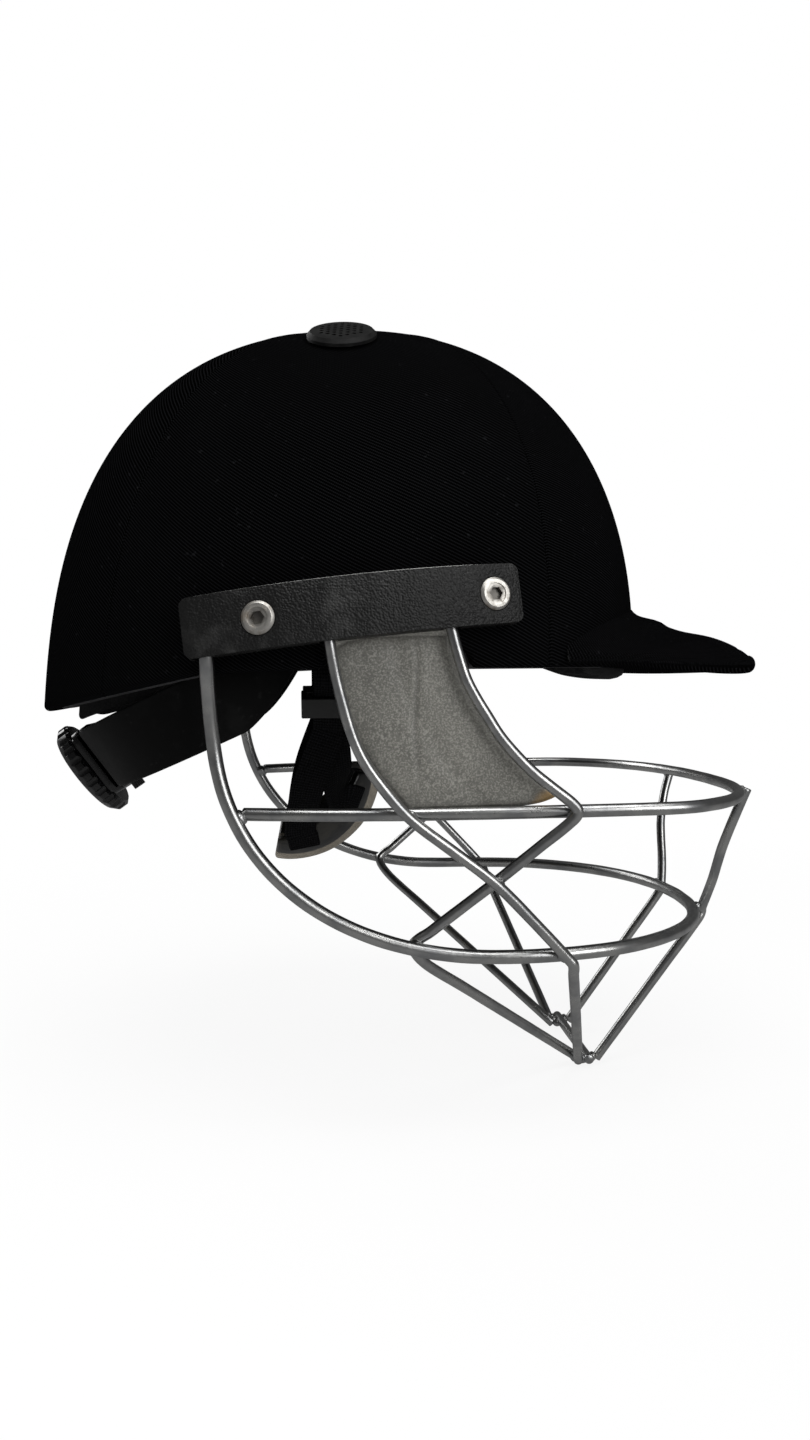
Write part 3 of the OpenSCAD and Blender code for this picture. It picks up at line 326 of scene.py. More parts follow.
def rim_height(x):
    """The rim: level at the front, a half ellipse over the ear, and a slope down to the rear."""
    level = np.interp(x, [-shell_rear, rim_fall_x, ear_x - ear_half, shell_front],
                      [rim_rear_z, rim_z - 1.5 * mm, rim_z, rim_z - 0.5 * mm])
    over_ear = np.sqrt(np.clip(1 - ((x - ear_x) / ear_half) ** 2, 0, 1))
    return level + (ear_top_z - rim_z) * over_ear


def remeshed(mesh, *steps):
    """Runs bmesh steps on a mesh."""
    work = bmesh.new()
    work.from_mesh(mesh)
    for step in steps:
        step(work)
    work.to_mesh(mesh)
    work.free()


def merge_doubles(work):
    """A bmesh step that joins points at one place."""
    bmesh.ops.remove_doubles(work, verts=work.verts, dist=1e-6)


def piece_from(name, points, faces, uv=None, **numbers):
    """A smooth mesh object from points, faces and named numbers for each point; poles are merged."""
    mesh = bpy.data.meshes.new(name)
    mesh.vertices.add(points.size // 3)
    mesh.vertices.foreach_set("co", points.astype(np.float32).ravel())
    mesh.loops.add(faces.size)
    mesh.loops.foreach_set("vertex_index", faces.ravel().astype(np.int32))
    mesh.polygons.add(len(faces))
    mesh.polygons.foreach_set("loop_start", np.arange(len(faces), dtype=np.int32) * faces.shape[1])
    mesh.polygons.foreach_set("loop_total", np.full(len(faces), faces.shape[1], np.int32))
    mesh.update(calc_edges=True)
    if uv is not None:
        layer = mesh.uv_layers.new(name="surface")
        layer.data.foreach_set("uv", uv.astype(np.float32).reshape(-1, 2)[faces.ravel()].ravel())
    for key, values in numbers.items():
        layer = mesh.attributes.new(key, "FLOAT", "POINT")
        layer.data.foreach_set("value", values.astype(np.float32).ravel())
    mesh.polygons.foreach_set("use_smooth", np.ones(len(faces), bool))
    remeshed(mesh, merge_doubles)
    return linked(name, mesh)


def grid_quads(rows, cols, around=False, turned=False):
    """Quads of a grid of rows and columns; around closes each row into a ring."""
    j, i = np.meshgrid(np.arange(rows - 1), np.arange(cols if around else cols - 1), indexing="ij")
    k = (i + 1) % cols
    quads = np.stack([j * cols + i, j * cols + k, (j + 1) * cols + k, (j + 1) * cols + i], -1)
    return quads.reshape(-1, 4)[:, ::-1] if turned else quads.reshape(-1, 4)


def loop_length(points, axis):
    """The distance along a grid of points in one direction, from its first row or column."""
    steps = np.linalg.norm(np.diff(points, axis=axis), axis=-1)
    return np.concatenate([np.zeros_like(np.take(steps, [0], axis)), np.cumsum(steps, axis)], axis)


def grid_piece(name, grid, uv=None, around=False, turned=False, **numbers):
    """A piece from a grid of points."""
    return piece_from(name, grid, grid_quads(*grid.shape[:2], around, turned), uv, **numbers)


def finished(made, shader, body, slot, *nodes):
    """Gives a piece its material and body, and hides the CAD nodes that it stands for; the slot is not
    used.
    """
    made.data.materials.append(shader.material)
    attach(made, body)
    if nodes:
        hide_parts(*nodes)
    return made


def dress(node, shader):
    """Gives a CAD node its material."""
    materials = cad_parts[node].data.materials
    materials.clear()
    materials.append(shader.material)


moulded = Shader("moulded_shell", Base_Color=(0.02, 0.02, 0.022))
grain = moulded.noise(900, 2)
moulded.set(Roughness=grain * 0.2 + 0.4)
moulded.bump(grain, 0.15 * mm, 0.5)
dress("outer_shell", moulded)


# The cloth cover.
# Black twill, sewn from a front, a rear and two side panels and stretched over the shell. The seam
# allowances raise a fine ridge beside each seam, and the lower edge is turned in under the rim.
front_seam_u = math.radians(54.5)
rear_seam_u = math.radians(136)
hem_r = 2.1 * mm
cover_rows = 96
seam_ridge = 0.25 * mm
seam_allowance = 2.4 * mm
seam_groove = 0.6 * mm
thread_pitch = 1.25 * mm


def unit(vectors):
    """Vectors over their lengths."""
    return vectors / np.maximum(np.linalg.norm(vectors, axis=-1, keepdims=True), 1e-12)


def rim_columns(first, last, count):
    """Azimuths along the rim, crowded towards both seams, with the rise of the rim at each."""
    u = np.linspace(first, last, 4000)
    low, high = np.zeros_like(u), np.full_like(u, 0.6)
    for _ in range(40):
        middle = (low + high) / 2
        spot = dome(u, middle, 0)
        under = spot[:, 2] < rim_height(spot[:, 0])
        low, high = np.where(under, middle, low), np.where(under, high, middle)
    along = loop_length(dome(u, high, 0), 0)
    s = np.linspace(0, 1, count)
    even = along[-1] * (s - 0.85 * np.sin(2 * math.pi * s) / (2 * math.pi))
    return np.interp(even, along, u), np.interp(even, along, high)


def cover_panel(name, first, last, columns):
    """The dome from the rim to the crown, lifted beside its seams, with a half round hem below."""
    u, foot = rim_columns(first, last, columns)
    v = foot + (math.pi / 2 - foot) * np.linspace(0, 1, cover_rows)[:, None]
    skin = dome(u, v, 0)
    normal = unit(np.cross(np.gradient(skin, axis=1), np.gradient(skin, axis=0)))
    normal[-1] = (0, 0, 1)
    girth = np.hypot(skin[..., 0] - crown_shift * np.sin(v) ** (2 / dome_power(u)), skin[..., 1])
    away = np.minimum(u - first, last - u) * girth
    skin += normal * (seam_ridge * np.exp(-(away / seam_allowance) ** 2)
                      - seam_groove * np.exp(-(away / (0.4 * mm)) ** 2))[..., None]
    rim_run = unit(np.gradient(skin[0], axis=0))
    down = np.cross(rim_run, normal[0])
    turn = np.linspace(math.pi, 0, 9, endpoint=False)[:, None, None]
    hem = skin[0] - hem_r * normal[0] * (1 - np.cos(turn)) + hem_r * down * np.sin(turn)
    points = np.concatenate([hem, skin])
    fall = loop_length(points, 0)
    across = np.concatenate([np.repeat(girth[:1], len(hem), 0), girth]) * (u - (first + last) / 2)
    made = grid_piece(name, points, np.stack([across, fall - fall[-1]], -1))
    return made, (float(np.ptp(across)), float(fall.max()))


def twill(shader, pitch):
    """Threads in steep slanting ribs: one wave along the ribs, cut by a finer wave across them."""
    uv = shader.node("TexCoord", output="UV")
    u, v = [shader.node("SeparateXYZ", {}, {0: uv}, output=k) for k in (0, 1)]
    rib = ((u * 0.55 + v) * (2 * math.pi / pitch)).math("SINE")
    thread = ((u - v * 0.35) * (4 * math.pi / pitch)).math("SINE")
    return rib * 0.5 + thread * 0.22 + 0.6


cloth = Shader("black_twill", Specular_IOR_Level=0.0)
weave_and_rib_highlight = twill(cloth, thread_pitch)
wear = cloth.noise(28, 4, 0.6)
lint = cloth.noise(420, 2, 0.5).above(0.72, 0.05)
faded = cloth.blend(wear.above(0.62, 0.3) * 0.7, 0.0003, (0.0010, 0.0010, 0.0011))
# The ribs are painted lighter than the cloth between them: a painted highlight on the raised threads.
# The lint flecks are real.
cloth.set(Base_Color=cloth.blend((weave_and_rib_highlight - 0.5) * 0.9 + lint * 0.6, faded, (0.0102, 0.0104, 0.0113)),
          Roughness=wear * 0.1 + 0.85)
cloth.bump(weave_and_rib_highlight * 0.3 + wear * 0.4, 0.5 * mm, 0.8)
seams = [-front_seam_u, front_seam_u, rear_seam_u]
seams += [2 * math.pi - rear_seam_u, 2 * math.pi - front_seam_u]
for k, (place, columns) in enumerate((("front", 190), ("left", 190), ("rear", 170), ("right", 190))):
    panel, cut = cover_panel(f"{place}_cover_cloth", seams[k], seams[k + 1], columns)
    finished(panel, cloth, "helmet", "cover_cloth", f"{place}_cover_panel")


# The peak.
# A stiff board in a sleeve of the same twill, sewn round its edge and folded under the front rim.
# The cover laps over its root and is sewn down there, with a fillet where the cloth turns up the shell.
peak_root_u = math.radians(50)
peak_tip_x = 178 * mm
peak_half_w = 80 * mm
peak_tip_z = 4 * mm
peak_t = 5.1 * mm
peak_arch = 3.2 * mm
peak_root_z = 21.5 * mm
peak_columns = 121
peak_rows = 48
peak_edge_rows = 9
cover_gap = 0.15 * mm
lap_width = 15 * mm
lap_rise = 1.4 * mm
stitch_depth = 0.35 * mm
board_share = 0.45


def bill():
    """Rows from the root on the dome to an elliptical edge, over the top, round it and back below.

    The edge is at sqrt(1 - s^2) of its reach, the arch rises with h(1 - h)(1 - s^2), and a smooth step
    lifts the lap. It also gives each top point's distance beyond the lap's seam.
    """
    s = np.sin(np.linspace(-math.pi / 2, math.pi / 2, peak_columns))
    h = np.sin(np.linspace(0, math.pi / 2, peak_rows))[:, None] ** 1.6
    root_x = dome(peak_root_u, math.radians(8), 0)[0]
    middle = 1 - s ** 6

    def on_shell(z):
        """Points of the cloth at a height."""
        return dome(s * peak_root_u, rise_at(s * peak_root_u, z), -cover_gap)

    def flat(z):
        """One side of the bill, each point's distance from the root, and the way up the shell there."""
        root_z = peak_root_z + (9 * mm - peak_root_z) * s * s + z
        root = on_shell(root_z)
        edge = np.stack([root_x + (peak_tip_x - root_x) * np.sqrt(1 - s * s), peak_half_w * s,
                         peak_tip_z + (1.5 * mm - peak_tip_z) * s * s + peak_t / 2 + z], -1)
        sheet = root + (edge - root) * h[..., None]
        sheet[..., 2] += peak_arch * 4 * h * (1 - h) * (1 - s * s)
        sheet[..., 2] += (0.9 * mm * h ** 4 - 1.6 * mm * np.exp(-((h - 0.43) / 0.2) ** 2)) * middle
        return sheet, h * np.linalg.norm(edge - root, axis=-1), on_shell(root_z + 3 * mm) - root

    top, from_root, turned_up = flat(0)
    past_lap = from_root - lap_width * np.sqrt(1 - 0.9 * s * s)
    top[..., 2] += lap_rise * middle / (1 + np.exp(np.clip(past_lap / (0.8 * mm), -30, 30)))
    top += turned_up * (middle * np.exp(-from_root / (2.2 * mm)))[..., None]
    top[..., 2] -= 1.8 * mm * h ** 12 * middle
    below = flat(-peak_t)[0]
    below[..., 2] += 3.4 * mm * (1 - middle) * h - (3.0 * mm * h ** 4 + 1.0 * mm * h ** 2) * middle
    run = np.gradient(top[-1], axis=0)
    out = unit(np.stack([run[:, 1], -run[:, 0], 0 * run[:, 0]], -1)) * 0.6 * peak_t
    turn = np.linspace(0, math.pi, peak_edge_rows + 2)[1:-1, None, None]
    rim = (top[-1] + below[-1]) / 2 + (top[-1] - below[-1]) / 2 * np.cos(turn) + out * np.sin(turn)
    return np.concatenate([top, rim, below[::-1]]), past_lap


peak_points, past_lap = bill()
top_run = loop_length(peak_points[:peak_rows], 0)
edge_gap = top_run[-1] - top_run
edge_gap = np.concatenate([edge_gap, np.zeros((peak_edge_rows, peak_columns)), edge_gap[::-1]])
stitches = np.exp(-((edge_gap - 5 * mm) / (0.7 * mm)) ** 2)
stitches[:peak_rows] += np.exp(-((past_lap + 2.2 * mm) / (0.6 * mm)) ** 2)
facing = np.where(np.arange(len(peak_points)) > peak_rows + peak_edge_rows // 2, -1, 1)[:, None]
peak_points[..., 2] -= stitch_depth * stitches * facing
peak_uv = np.stack([peak_points[..., 1], facing * peak_points[..., 0]], -1)
peak = grid_piece("peak_cloth", peak_points, peak_uv)
finished(peak, cloth, "helmet", "cover_cloth", "peak_cover")

# The board lies in the middle of the sleeve, at less than half its thickness.
core = (peak_points[:peak_rows] + peak_points[:-peak_rows - 1:-1]) / 2
core = np.concatenate([core, np.repeat(core[-1:], peak_edge_rows, 0), core[::-1]])
stiffener = grid_piece("peak_stiffener", core + board_share * (peak_points - core))
board = Shader("peak_board", Roughness=0.7)
board.set(Base_Color=board.blend(board.noise(500), 0.01, 0.02))
finished(stiffener, board, "helmet", "board", "peak_board")
runs = loop_length(peak_points, 1)[:, -1], loop_length(peak_points, 0)[-1]
cut = tuple(float(run.max()) for run in runs)


# The vents.
# Moulded rubber caps with a field of air holes, pressed into the shell near the crown.
rubber = Shader("vent_rubber", Specular_IOR_Level=0.2)
dust = rubber.noise(260, 4, 0.6)
rubber.set(Base_Color=rubber.blend(dust.above(0.55, 0.4), 0.002, (0.009, 0.009, 0.0087)),
           Roughness=dust * 0.25 + 0.45)
rubber.bump(dust, 0.2 * mm, 0.4)
dress("vent_caps", rubber)


# The foam liner.
# Dark expanded foam, glued inside the shell and cut off with it at the rim.
foam = Shader("liner_foam", Roughness=0.95)
beads_of_foam = foam.cells(420)
foam.set(Base_Color=foam.blend(beads_of_foam, (0.03, 0.03, 0.033), (0.012, 0.012, 0.013)))
foam.bump(beads_of_foam, 0.4 * mm, 0.6)
liner_edge = 0.35 * mm
lip_drop = 1.2 * mm


def liner_skin():
    """The dome's inner and outer layer from the rim up, joined under the rim by a rounded lip."""
    u, foot = rim_columns(0, 2 * math.pi, 481)
    v = foot + (math.pi / 2 - foot) * np.linspace(0, 1, 60)[:, None] ** 1.1
    outer, inner = dome(u, v, liner_inset), dome(u, v, inner_inset)
    outer[0, :, 2] += liner_edge
    turn = np.linspace(0, math.pi, 9)[1:-1, None, None]
    lip = (outer[0] + inner[0]) / 2 + (inner[0] - outer[0]) / 2 * np.cos(turn)
    lip[..., 2] -= lip_drop * np.sin(turn[..., 0])
    return grid_piece("liner_moulding", np.concatenate([inner[::-1], lip, outer])[:, :-1], around=True)


finished(liner_skin(), foam, "helmet", "liner_foam", "foam_liner")


# The comfort pads.
# Soft foam in brushed black cloth, glued to the liner: a long one across the brow, one at each side,
# one at the rear and a round one under the crown. Sewn channels cross the long ones.
brushed = Shader("brushed_pad_cloth", Specular_IOR_Level=0.1, Roughness=0.95)
pile = brushed.noise(900, 3, 0.7)
rubbed = brushed.noise(45, 4, 0.6)
nap = pile * 0.6 + rubbed * 0.4
brushed.set(Base_Color=brushed.blend(nap, (0.0018, 0.0018, 0.002), (0.014, 0.014, 0.0145)))
brushed.bump(pile, 0.6 * mm, 0.8)
pad_seat = 0.95 * mm
pad_edge = 0.8 * mm
corner_draw = 0.12
channel_depth = 0.55
roll_inset = 3.4 * mm
crown_t = 9 * mm
crown_spread = math.radians(25)
dial_notch = math.radians(13)
seam_line = 0.75
swell_frames = 20
swell_cap = 1.1 * mm
swelling_cloth = {
    "vertex_group_mass": "held", "quality": 3, "mass": 0.001, "tension_stiffness": 4,
    "compression_stiffness": 1, "shear_stiffness": 1, "bending_stiffness": 0.02,
    "use_pressure": True, "uniform_pressure_force": 20, "shrink_min": -0.08,
}


def pillow(s, t, sharp=5, swell=0.55):
    """1 in the middle of a square from -1 to 1, falling to 0 at its edges along a rounded slope."""
    return np.maximum((1 - np.abs(s) ** sharp) * (1 - np.abs(t) ** sharp), 0) ** swell


def cushion(name, face, back, rounds=5, bulge=0.5, **numbers):
    """Two grids joined round their edges by a band that bulges out by a share of their distance."""
    rows, cols = face.shape[:2]
    index = np.arange(rows * cols).reshape(rows, cols)
    loop = np.concatenate([index[0], index[1:, -1], index[-1, -2::-1], index[-2:0:-1, 0]])
    inward = np.zeros((rows, cols, 3))
    inward[0] += unit(face[1] - face[0])
    inward[-1] += unit(face[-2] - face[-1])
    inward[:, 0] += unit(face[:, 1] - face[:, 0])
    inward[:, -1] += unit(face[:, -2] - face[:, -1])
    outward = -unit(inward.reshape(-1, 3)[loop])
    top, low = face.reshape(-1, 3)[loop], back.reshape(-1, 3)[loop]
    through = low - top
    outward = unit(outward - unit(through) * (unit(through) * outward).sum(-1, keepdims=True))
    depth = np.linalg.norm(through, axis=-1, keepdims=True)
    turn = np.linspace(0, math.pi, rounds + 2)[1:-1]
    bands = [top + through * (1 - math.cos(a)) / 2 + outward * depth * bulge * math.sin(a)
             for a in turn]
    count = rows * cols
    rings = [2 * count + k * len(loop) + np.arange(len(loop)) for k in range(rounds)]
    rings = [loop] + rings + [loop + count]
    walls = [np.stack([a, np.roll(a, -1), np.roll(b, -1), b], -1) for a, b in zip(rings, rings[1:])]
    quads = grid_quads(rows, cols)
    points = np.concatenate([face.reshape(-1, 3), back.reshape(-1, 3)] + bands)
    faces = np.concatenate([quads[:, ::-1], quads + count] + walls)
    spread = {key: np.concatenate([value.ravel(), value.ravel()] + [value.ravel()[loop]] * rounds)
              for key, value in numbers.items()}
    made = piece_from(name, points, faces, **spread)
    remeshed(made.data, lambda work: bmesh.ops.recalc_face_normals(work, faces=work.faces))
    return made


def swollen(made, free):
    """Cloth over foam: under pressure the face bulges and wrinkles between its seams, which hold still.

    The free points are a mask over the face's grid; no point moves further than the cap.
    """
    count = len(made.data.vertices)
    start, moved = np.empty(count * 3), np.empty(count * 3)
    made.data.vertices.foreach_get("co", start)
    held = np.concatenate([~free.ravel(), np.ones(count - free.size, bool)])
    made.vertex_groups.new(name="held").add([int(k) for k in np.flatnonzero(held)], 1.0, "REPLACE")
    skin = made.modifiers.new("skin", "CLOTH")
    skin.point_cache.frame_end = swell_frames
    for key, value in swelling_cloth.items():
        setattr(skin.settings, key, value)
    skin.settings.effector_weights.gravity = 0
    for step in range(1, swell_frames + 1):
        bpy.context.scene.frame_set(step)
    settled = made.evaluated_get(bpy.context.evaluated_depsgraph_get())
    settled.to_mesh().vertices.foreach_get("co", moved)
    settled.to_mesh_clear()
    made.modifiers.clear()
    made.vertex_groups.clear()
    bpy.context.scene.frame_set(1)
    shift = (moved - start).reshape(-1, 3)
    far = np.linalg.norm(shift, axis=1, keepdims=True)
    capped = shift * np.minimum(1, swell_cap / np.maximum(far, 1e-9))
    made.data.vertices.foreach_set("co", start + capped.ravel())
    made.data.update()
    return made


def channels_at(s, places, width=0.06):
    """1 on the pad, less in the sewn channels at these places."""
    return 1 - channel_depth * sum(np.exp(-((s - p) / width) ** 2) for p in places)


def pad_grid(cols, rows):
    """Places from -1 to 1 both ways, crowded at the edges, with the square's corners drawn in."""
    s = -np.cos(np.linspace(0, math.pi, cols))
    t = -np.cos(np.linspace(0, math.pi, rows))[:, None]
    s, t = np.broadcast_arrays(s, t)
    return s * np.sqrt(1 - corner_draw * t * t), t * np.sqrt(1 - corner_draw * s * s), s, t


def ease(t):
    """A smooth step from 0 to 1."""
    t = np.clip(t, 0, 1)
    return t * t * (3 - 2 * t)


def liner_pad(node, u, v, thick, cols, rows, places, taper=0, skirt=0):
    """A cushion between two azimuths and two rises.

    Its foot tapers up at the ends and rolls out under the liner where it is below the rim, or else it
    hangs below the rim as a skirt, less so over the dial.
    """
    s, t, flat_s, flat_t = pad_grid(cols, rows)
    azimuth = np.radians(u[0] + (u[1] - u[0]) * (s + 1) / 2)
    foot = np.radians(v[0] + (v[1] - v[0]) * taper * np.abs(flat_s) ** 3)
    sag = 0
    if skirt:
        hang = (1 - flat_s ** 12) * (1 - 0.45 * np.exp(-((azimuth - math.pi) / dial_notch) ** 4))
        foot_z = rim_height(dome(azimuth, 0 * azimuth, 0)[..., 0]) - skirt * hang
        foot = rise_at(azimuth, foot_z)
        sag = np.minimum(foot_z - dome_base, 0) * ((1 - t) / 2) ** 3
    rise = foot + (math.radians(v[1]) - foot) * (t + 1) / 2
    lift = pad_edge + (thick - pad_edge) * pillow(flat_s, flat_t) * channels_at(flat_s, places)
    inset = inner_inset + pad_seat
    back = dome(azimuth, rise, inset)
    if taper:
        below_rim = (rim_height(back[..., 0]) - back[..., 2] - 1.2 * mm) / (2.6 * mm)
        back = dome(azimuth, rise, inset - (inset - roll_inset) * ease(below_rim) * (1 - flat_s ** 8))
    face = dome(azimuth, rise, inset + lift)
    face[..., 2] += sag
    back[..., 2] += sag
    made = cushion(node.replace("pad", "cushion"), face, back, bulge=0.22 if taper else 0.5)
    unsewn = channels_at(flat_s, places, 0.035) > seam_line
    return swollen(made, unsewn & (np.abs(flat_s) < 0.96) & (np.abs(flat_t) < 0.93))


def crown_cushion(name):
    """A round cushion about the pole: a square grid, crowded at its edges, drawn into a disc."""
    s = -np.cos(np.linspace(0, math.pi, 41)) + np.zeros((41, 1))
    t = s.T
    x, y = s * np.sqrt(1 - t * t / 2), t * np.sqrt(1 - s * s / 2)
    far = np.hypot(x, y)
    seam = channels_at(x, (-0.4, 0.4)) * channels_at(y, (-0.4, 0.4))
    lift = pad_edge + (crown_t - pad_edge) * np.maximum(1 - far ** 6, 0) ** 0.55 * seam
    azimuth, rise = np.arctan2(y, x), math.pi / 2 - crown_spread * far
    inset = inner_inset + pad_seat
    made = cushion(name, dome(azimuth, rise, inset + lift), dome(azimuth, rise, inset))
    return swollen(made, (seam > seam_line) & (far < 0.95))


pad_forms = {
    "brow_pad": ((-56, 56), (3.4, 17), 10 * mm, 141, 41, (-0.5, 0, 0.5), 0.5),
    "rear_pad": ((122, 238), (5, 22), 9 * mm, 131, 41, (-0.6, -0.2, 0.2, 0.6), 0, 6.5 * mm),
    "left_side_pad": ((64, 128), (14, 31), 8 * mm, 91, 41, (-0.33, 0.33)),
    "right_side_pad": ((232, 296), (14, 31), 8 * mm, 91, 41, (-0.33, 0.33)),
}
cushions = {node: liner_pad(node, *form) for node, form in pad_forms.items()}
cushions["crown_pad"] = crown_cushion("crown_cushion")
for node, pad in cushions.items():
    finished(pad, brushed, "helmet", "pad_cloth", node)
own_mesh(cushions["rear_pad"])


# The side plates.
# Two curved bars of black nylon, grained in the mould, with softened edges. Each clamps the guard's
# wires against a bright steel strip, and two screws with hexagon sockets pull it to the shell.
nylon = Shader("plate_nylon", Specular_IOR_Level=0.28)
leather_grain = nylon.cells(1250, Smoothness=0.6)
scuffs = nylon.noise(60, 5, 0.65)
scuffed = scuffs.above(0.62, 0.2)
nylon.set(Base_Color=nylon.blend(scuffed, (0.0068, 0.0068, 0.0067), (0.022, 0.022, 0.0215)),
          Roughness=leather_grain * 0.35 + scuffs * 0.15 + 0.22)
nylon.bump(leather_grain * 0.7 + scuffs * 0.3, 0.5 * mm, 0.9)


def softened(name, node, radius, sharp=35):
    """A merged copy of a CAD node, with edges that turn by more degrees than this rounded."""
    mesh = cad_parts[node].data.copy()
    remeshed(mesh, merge_doubles, lambda work: bmesh.ops.dissolve_limit(
        work, angle_limit=math.radians(0.5), verts=work.verts, edges=work.edges))
    mesh.materials.clear()
    mesh.polygons.foreach_set("use_smooth", np.ones(len(mesh.polygons), bool))
    made = linked(name, mesh)
    edge = made.modifiers.new("edge", "BEVEL")
    edge.width = radius
    edge.segments = 3
    edge.limit_method = "ANGLE"
    edge.angle_limit = math.radians(sharp)
    edge.harden_normals = True
    return made


for side in ("left", "right"):
    plate = softened(f"{side}_plate_body", f"{side}_side_plate", 1.0 * mm)
    finished(plate, nylon, "helmet", "plate_nylon", f"{side}_side_plate")

strip_steel = Shader("strip_steel", Metallic=1.0)
rolled = strip_steel.noise(500)
strip_steel.set(Base_Color=strip_steel.blend(rolled, (0.5, 0.5, 0.49), (0.72, 0.72, 0.7)),
                Roughness=rolled * 0.2 + 0.25)
strip_top = 22 * mm
strip_slope = 0.105
strip_raise = 0.9 * mm
for side in ("left", "right"):
    strip = softened(f"{side}_steel_strip", f"{side}_plate_strip", 0.2 * mm)
    for corner in strip.data.vertices:
        if corner.co.z > strip_top + strip_slope * corner.co.x:
            corner.co.z += strip_raise
    finished(strip, strip_steel, "helmet", "strip_metal", f"{side}_plate_strip")

stainless = Shader("stainless_screw", Metallic=1.0)
turned = stainless.noise(900, 3, 0.6)
tarnish = stainless.noise(180, 4, 0.6).above(0.58, 0.2)
hollow = stainless.attribute("hollow")
worn = stainless.blend(tarnish, (0.66, 0.64, 0.60), (0.42, 0.38, 0.33))
# Each hexagon socket is painted dark brown-black: painted shade in the recess.
stainless.set(Base_Color=stainless.blend(hollow * 0.75, worn, (0.06, 0.053, 0.045)),
              Roughness=turned * 0.18 + tarnish * 0.25 + hollow * 0.1 + 0.38)
stainless.bump(turned, 0.1 * mm, 0.4)
screws_middle_x = 11 * mm


def mark_painted_socket_shade(made, radius, depth):
    """An attribute that is 1 in each screw's socket, near its axis and below the top of its head, where
    the socket is painted dark as shade.
    """
    places = np.array([corner.co for corner in made.data.vertices])
    deep = np.zeros(len(places))
    for front, left in ((True, True), (True, False), (False, True), (False, False)):
        own = ((places[:, 0] > screws_middle_x) == front) & ((places[:, 1] > 0) == left)
        screw = places[own]
        along = np.linalg.svd(screw - screw.mean(0), full_matrices=False)[2][0]
        along *= np.sign(along[1]) * (1 if left else -1)
        height = (screw - screw.mean(0)) @ along
        below = height.max() - height
        from_axis = np.linalg.norm(np.cross(screw - screw[below < 0.2 * mm].mean(0), along), axis=1)
        deep[own] = (from_axis < radius) & (below > 0.3 * mm) & (below < depth)
    made.data.attributes.new("hollow", "FLOAT", "POINT").data.foreach_set("value", deep)


screws = softened("plate_screw_heads", "plate_screws", 0.25 * mm, 40)
mark_painted_socket_shade(screws, 3.0 * mm, 3 * mm)
finished(screws, stainless, "helmet", "screw_steel", "plate_screws")
dress("tee_nuts", stainless)


# The face guard.
# Nine bent steel wires in three thicknesses, welded where they touch and at their ends behind the
# plates, then plated. Handling has dulled the plating and a little rust shows beside some welds.
guard_d = {"lower_loop": 5.0 * mm, "top_ring": 4.6 * mm, "chin_bar": 4.0 * mm}
for run in ("cheek", "jaw", "front"):
    guard_d.update({f"{side}_{run}_wire": 4.0 * mm for side in ("left", "right")})
wire_sides = 20
wire_dents = 0.012
same_plane = 0.99999
touch_slack = 0.6 * mm
weld_spacing = 12 * mm
heat_reach = 7 * mm
tip_cut = 2.6 * mm
bead_heat = 0.7
bead_rows = 13
bead_columns = 20


def neighbours(ring):
    """The corners one edge away from a set of corners."""
    return {edge.other_vert(corner) for corner in ring for edge in corner.link_edges}


def flat_patch(face):
    """The corners of all faces that lie in one plane with this one and hang together."""
    patch, grown = {face}, [face]
    while grown:
        for edge in grown.pop().edges:
            for other in edge.link_faces:
                if other not in patch and other.normal.dot(face.normal) > same_plane:
                    patch.add(other)
                    grown.append(other)
    return {corner for flat in patch for corner in flat.verts}


def tube_centres(node):
    """Walks a faceted tube from one flat end, whose corners lie on a circle, ring by ring."""
    if node == "chin_bar":
        low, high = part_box(node)
        middle = (low + high) / 2
        return np.array([[middle[0], y, middle[2]] for y in np.linspace(low[1], high[1], 9)])
    walked = bmesh.new()
    walked.from_mesh(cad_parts[node].data)
    merge_doubles(walked)
    walked.verts.ensure_lookup_table()
    seen, front = {walked.verts[0]}, {walked.verts[0]}
    while neighbours(front) - seen:
        front = neighbours(front) - seen
        seen |= front

    def unevenness(patch):
        """How far a patch's corners are from lying on a circle."""
        places = np.array([corner.co for corner in patch])
        return np.ptp(np.linalg.norm(places - places.mean(0), axis=1)) if len(patch) > 4 else 1

    ring = min((flat_patch(face) for corner in front for face in corner.link_faces), key=unevenness)
    done, centres = set(ring), []
    while ring:
        centres.append(np.mean([corner.co for corner in ring], axis=0))
        ring = neighbours(ring) - done
        done |= ring
    walked.free()
    return np.array(centres)


def smooth_path(knots, steps):
    """A Catmull-Rom curve through the knots, with this many steps between each two."""
    before = np.concatenate([2 * knots[:1] - knots[1:2], knots[:-2]])
    after = np.concatenate([knots[2:], 2 * knots[-1:] - knots[-2:-1]])
    a, b, c, d = before[:, None], knots[:-1, None], knots[1:, None], after[:, None]
    t = (np.arange(steps) / steps)[None, :, None]
    run = (b + t / 2 * (c - a) + t ** 2 * (a - 2.5 * b + 2 * c - d / 2)
           + t ** 3 * (1.5 * b - a / 2 - 1.5 * c + d / 2))
    return np.concatenate([run.reshape(-1, 3), knots[-1:]])


def carried_frames(path):
    """Directions along and across a path; the across one is carried on without twist."""
    along = unit(np.gradient(path, axis=0))
    across = np.empty_like(path)
    across[0] = unit(np.cross(along[0], (0.31, 0.22, 0.92)))
    for k in range(1, len(path)):
        across[k] = unit(across[k - 1] - along[k] * (along[k] @ across[k - 1]))
    return along, across, np.cross(along, across)


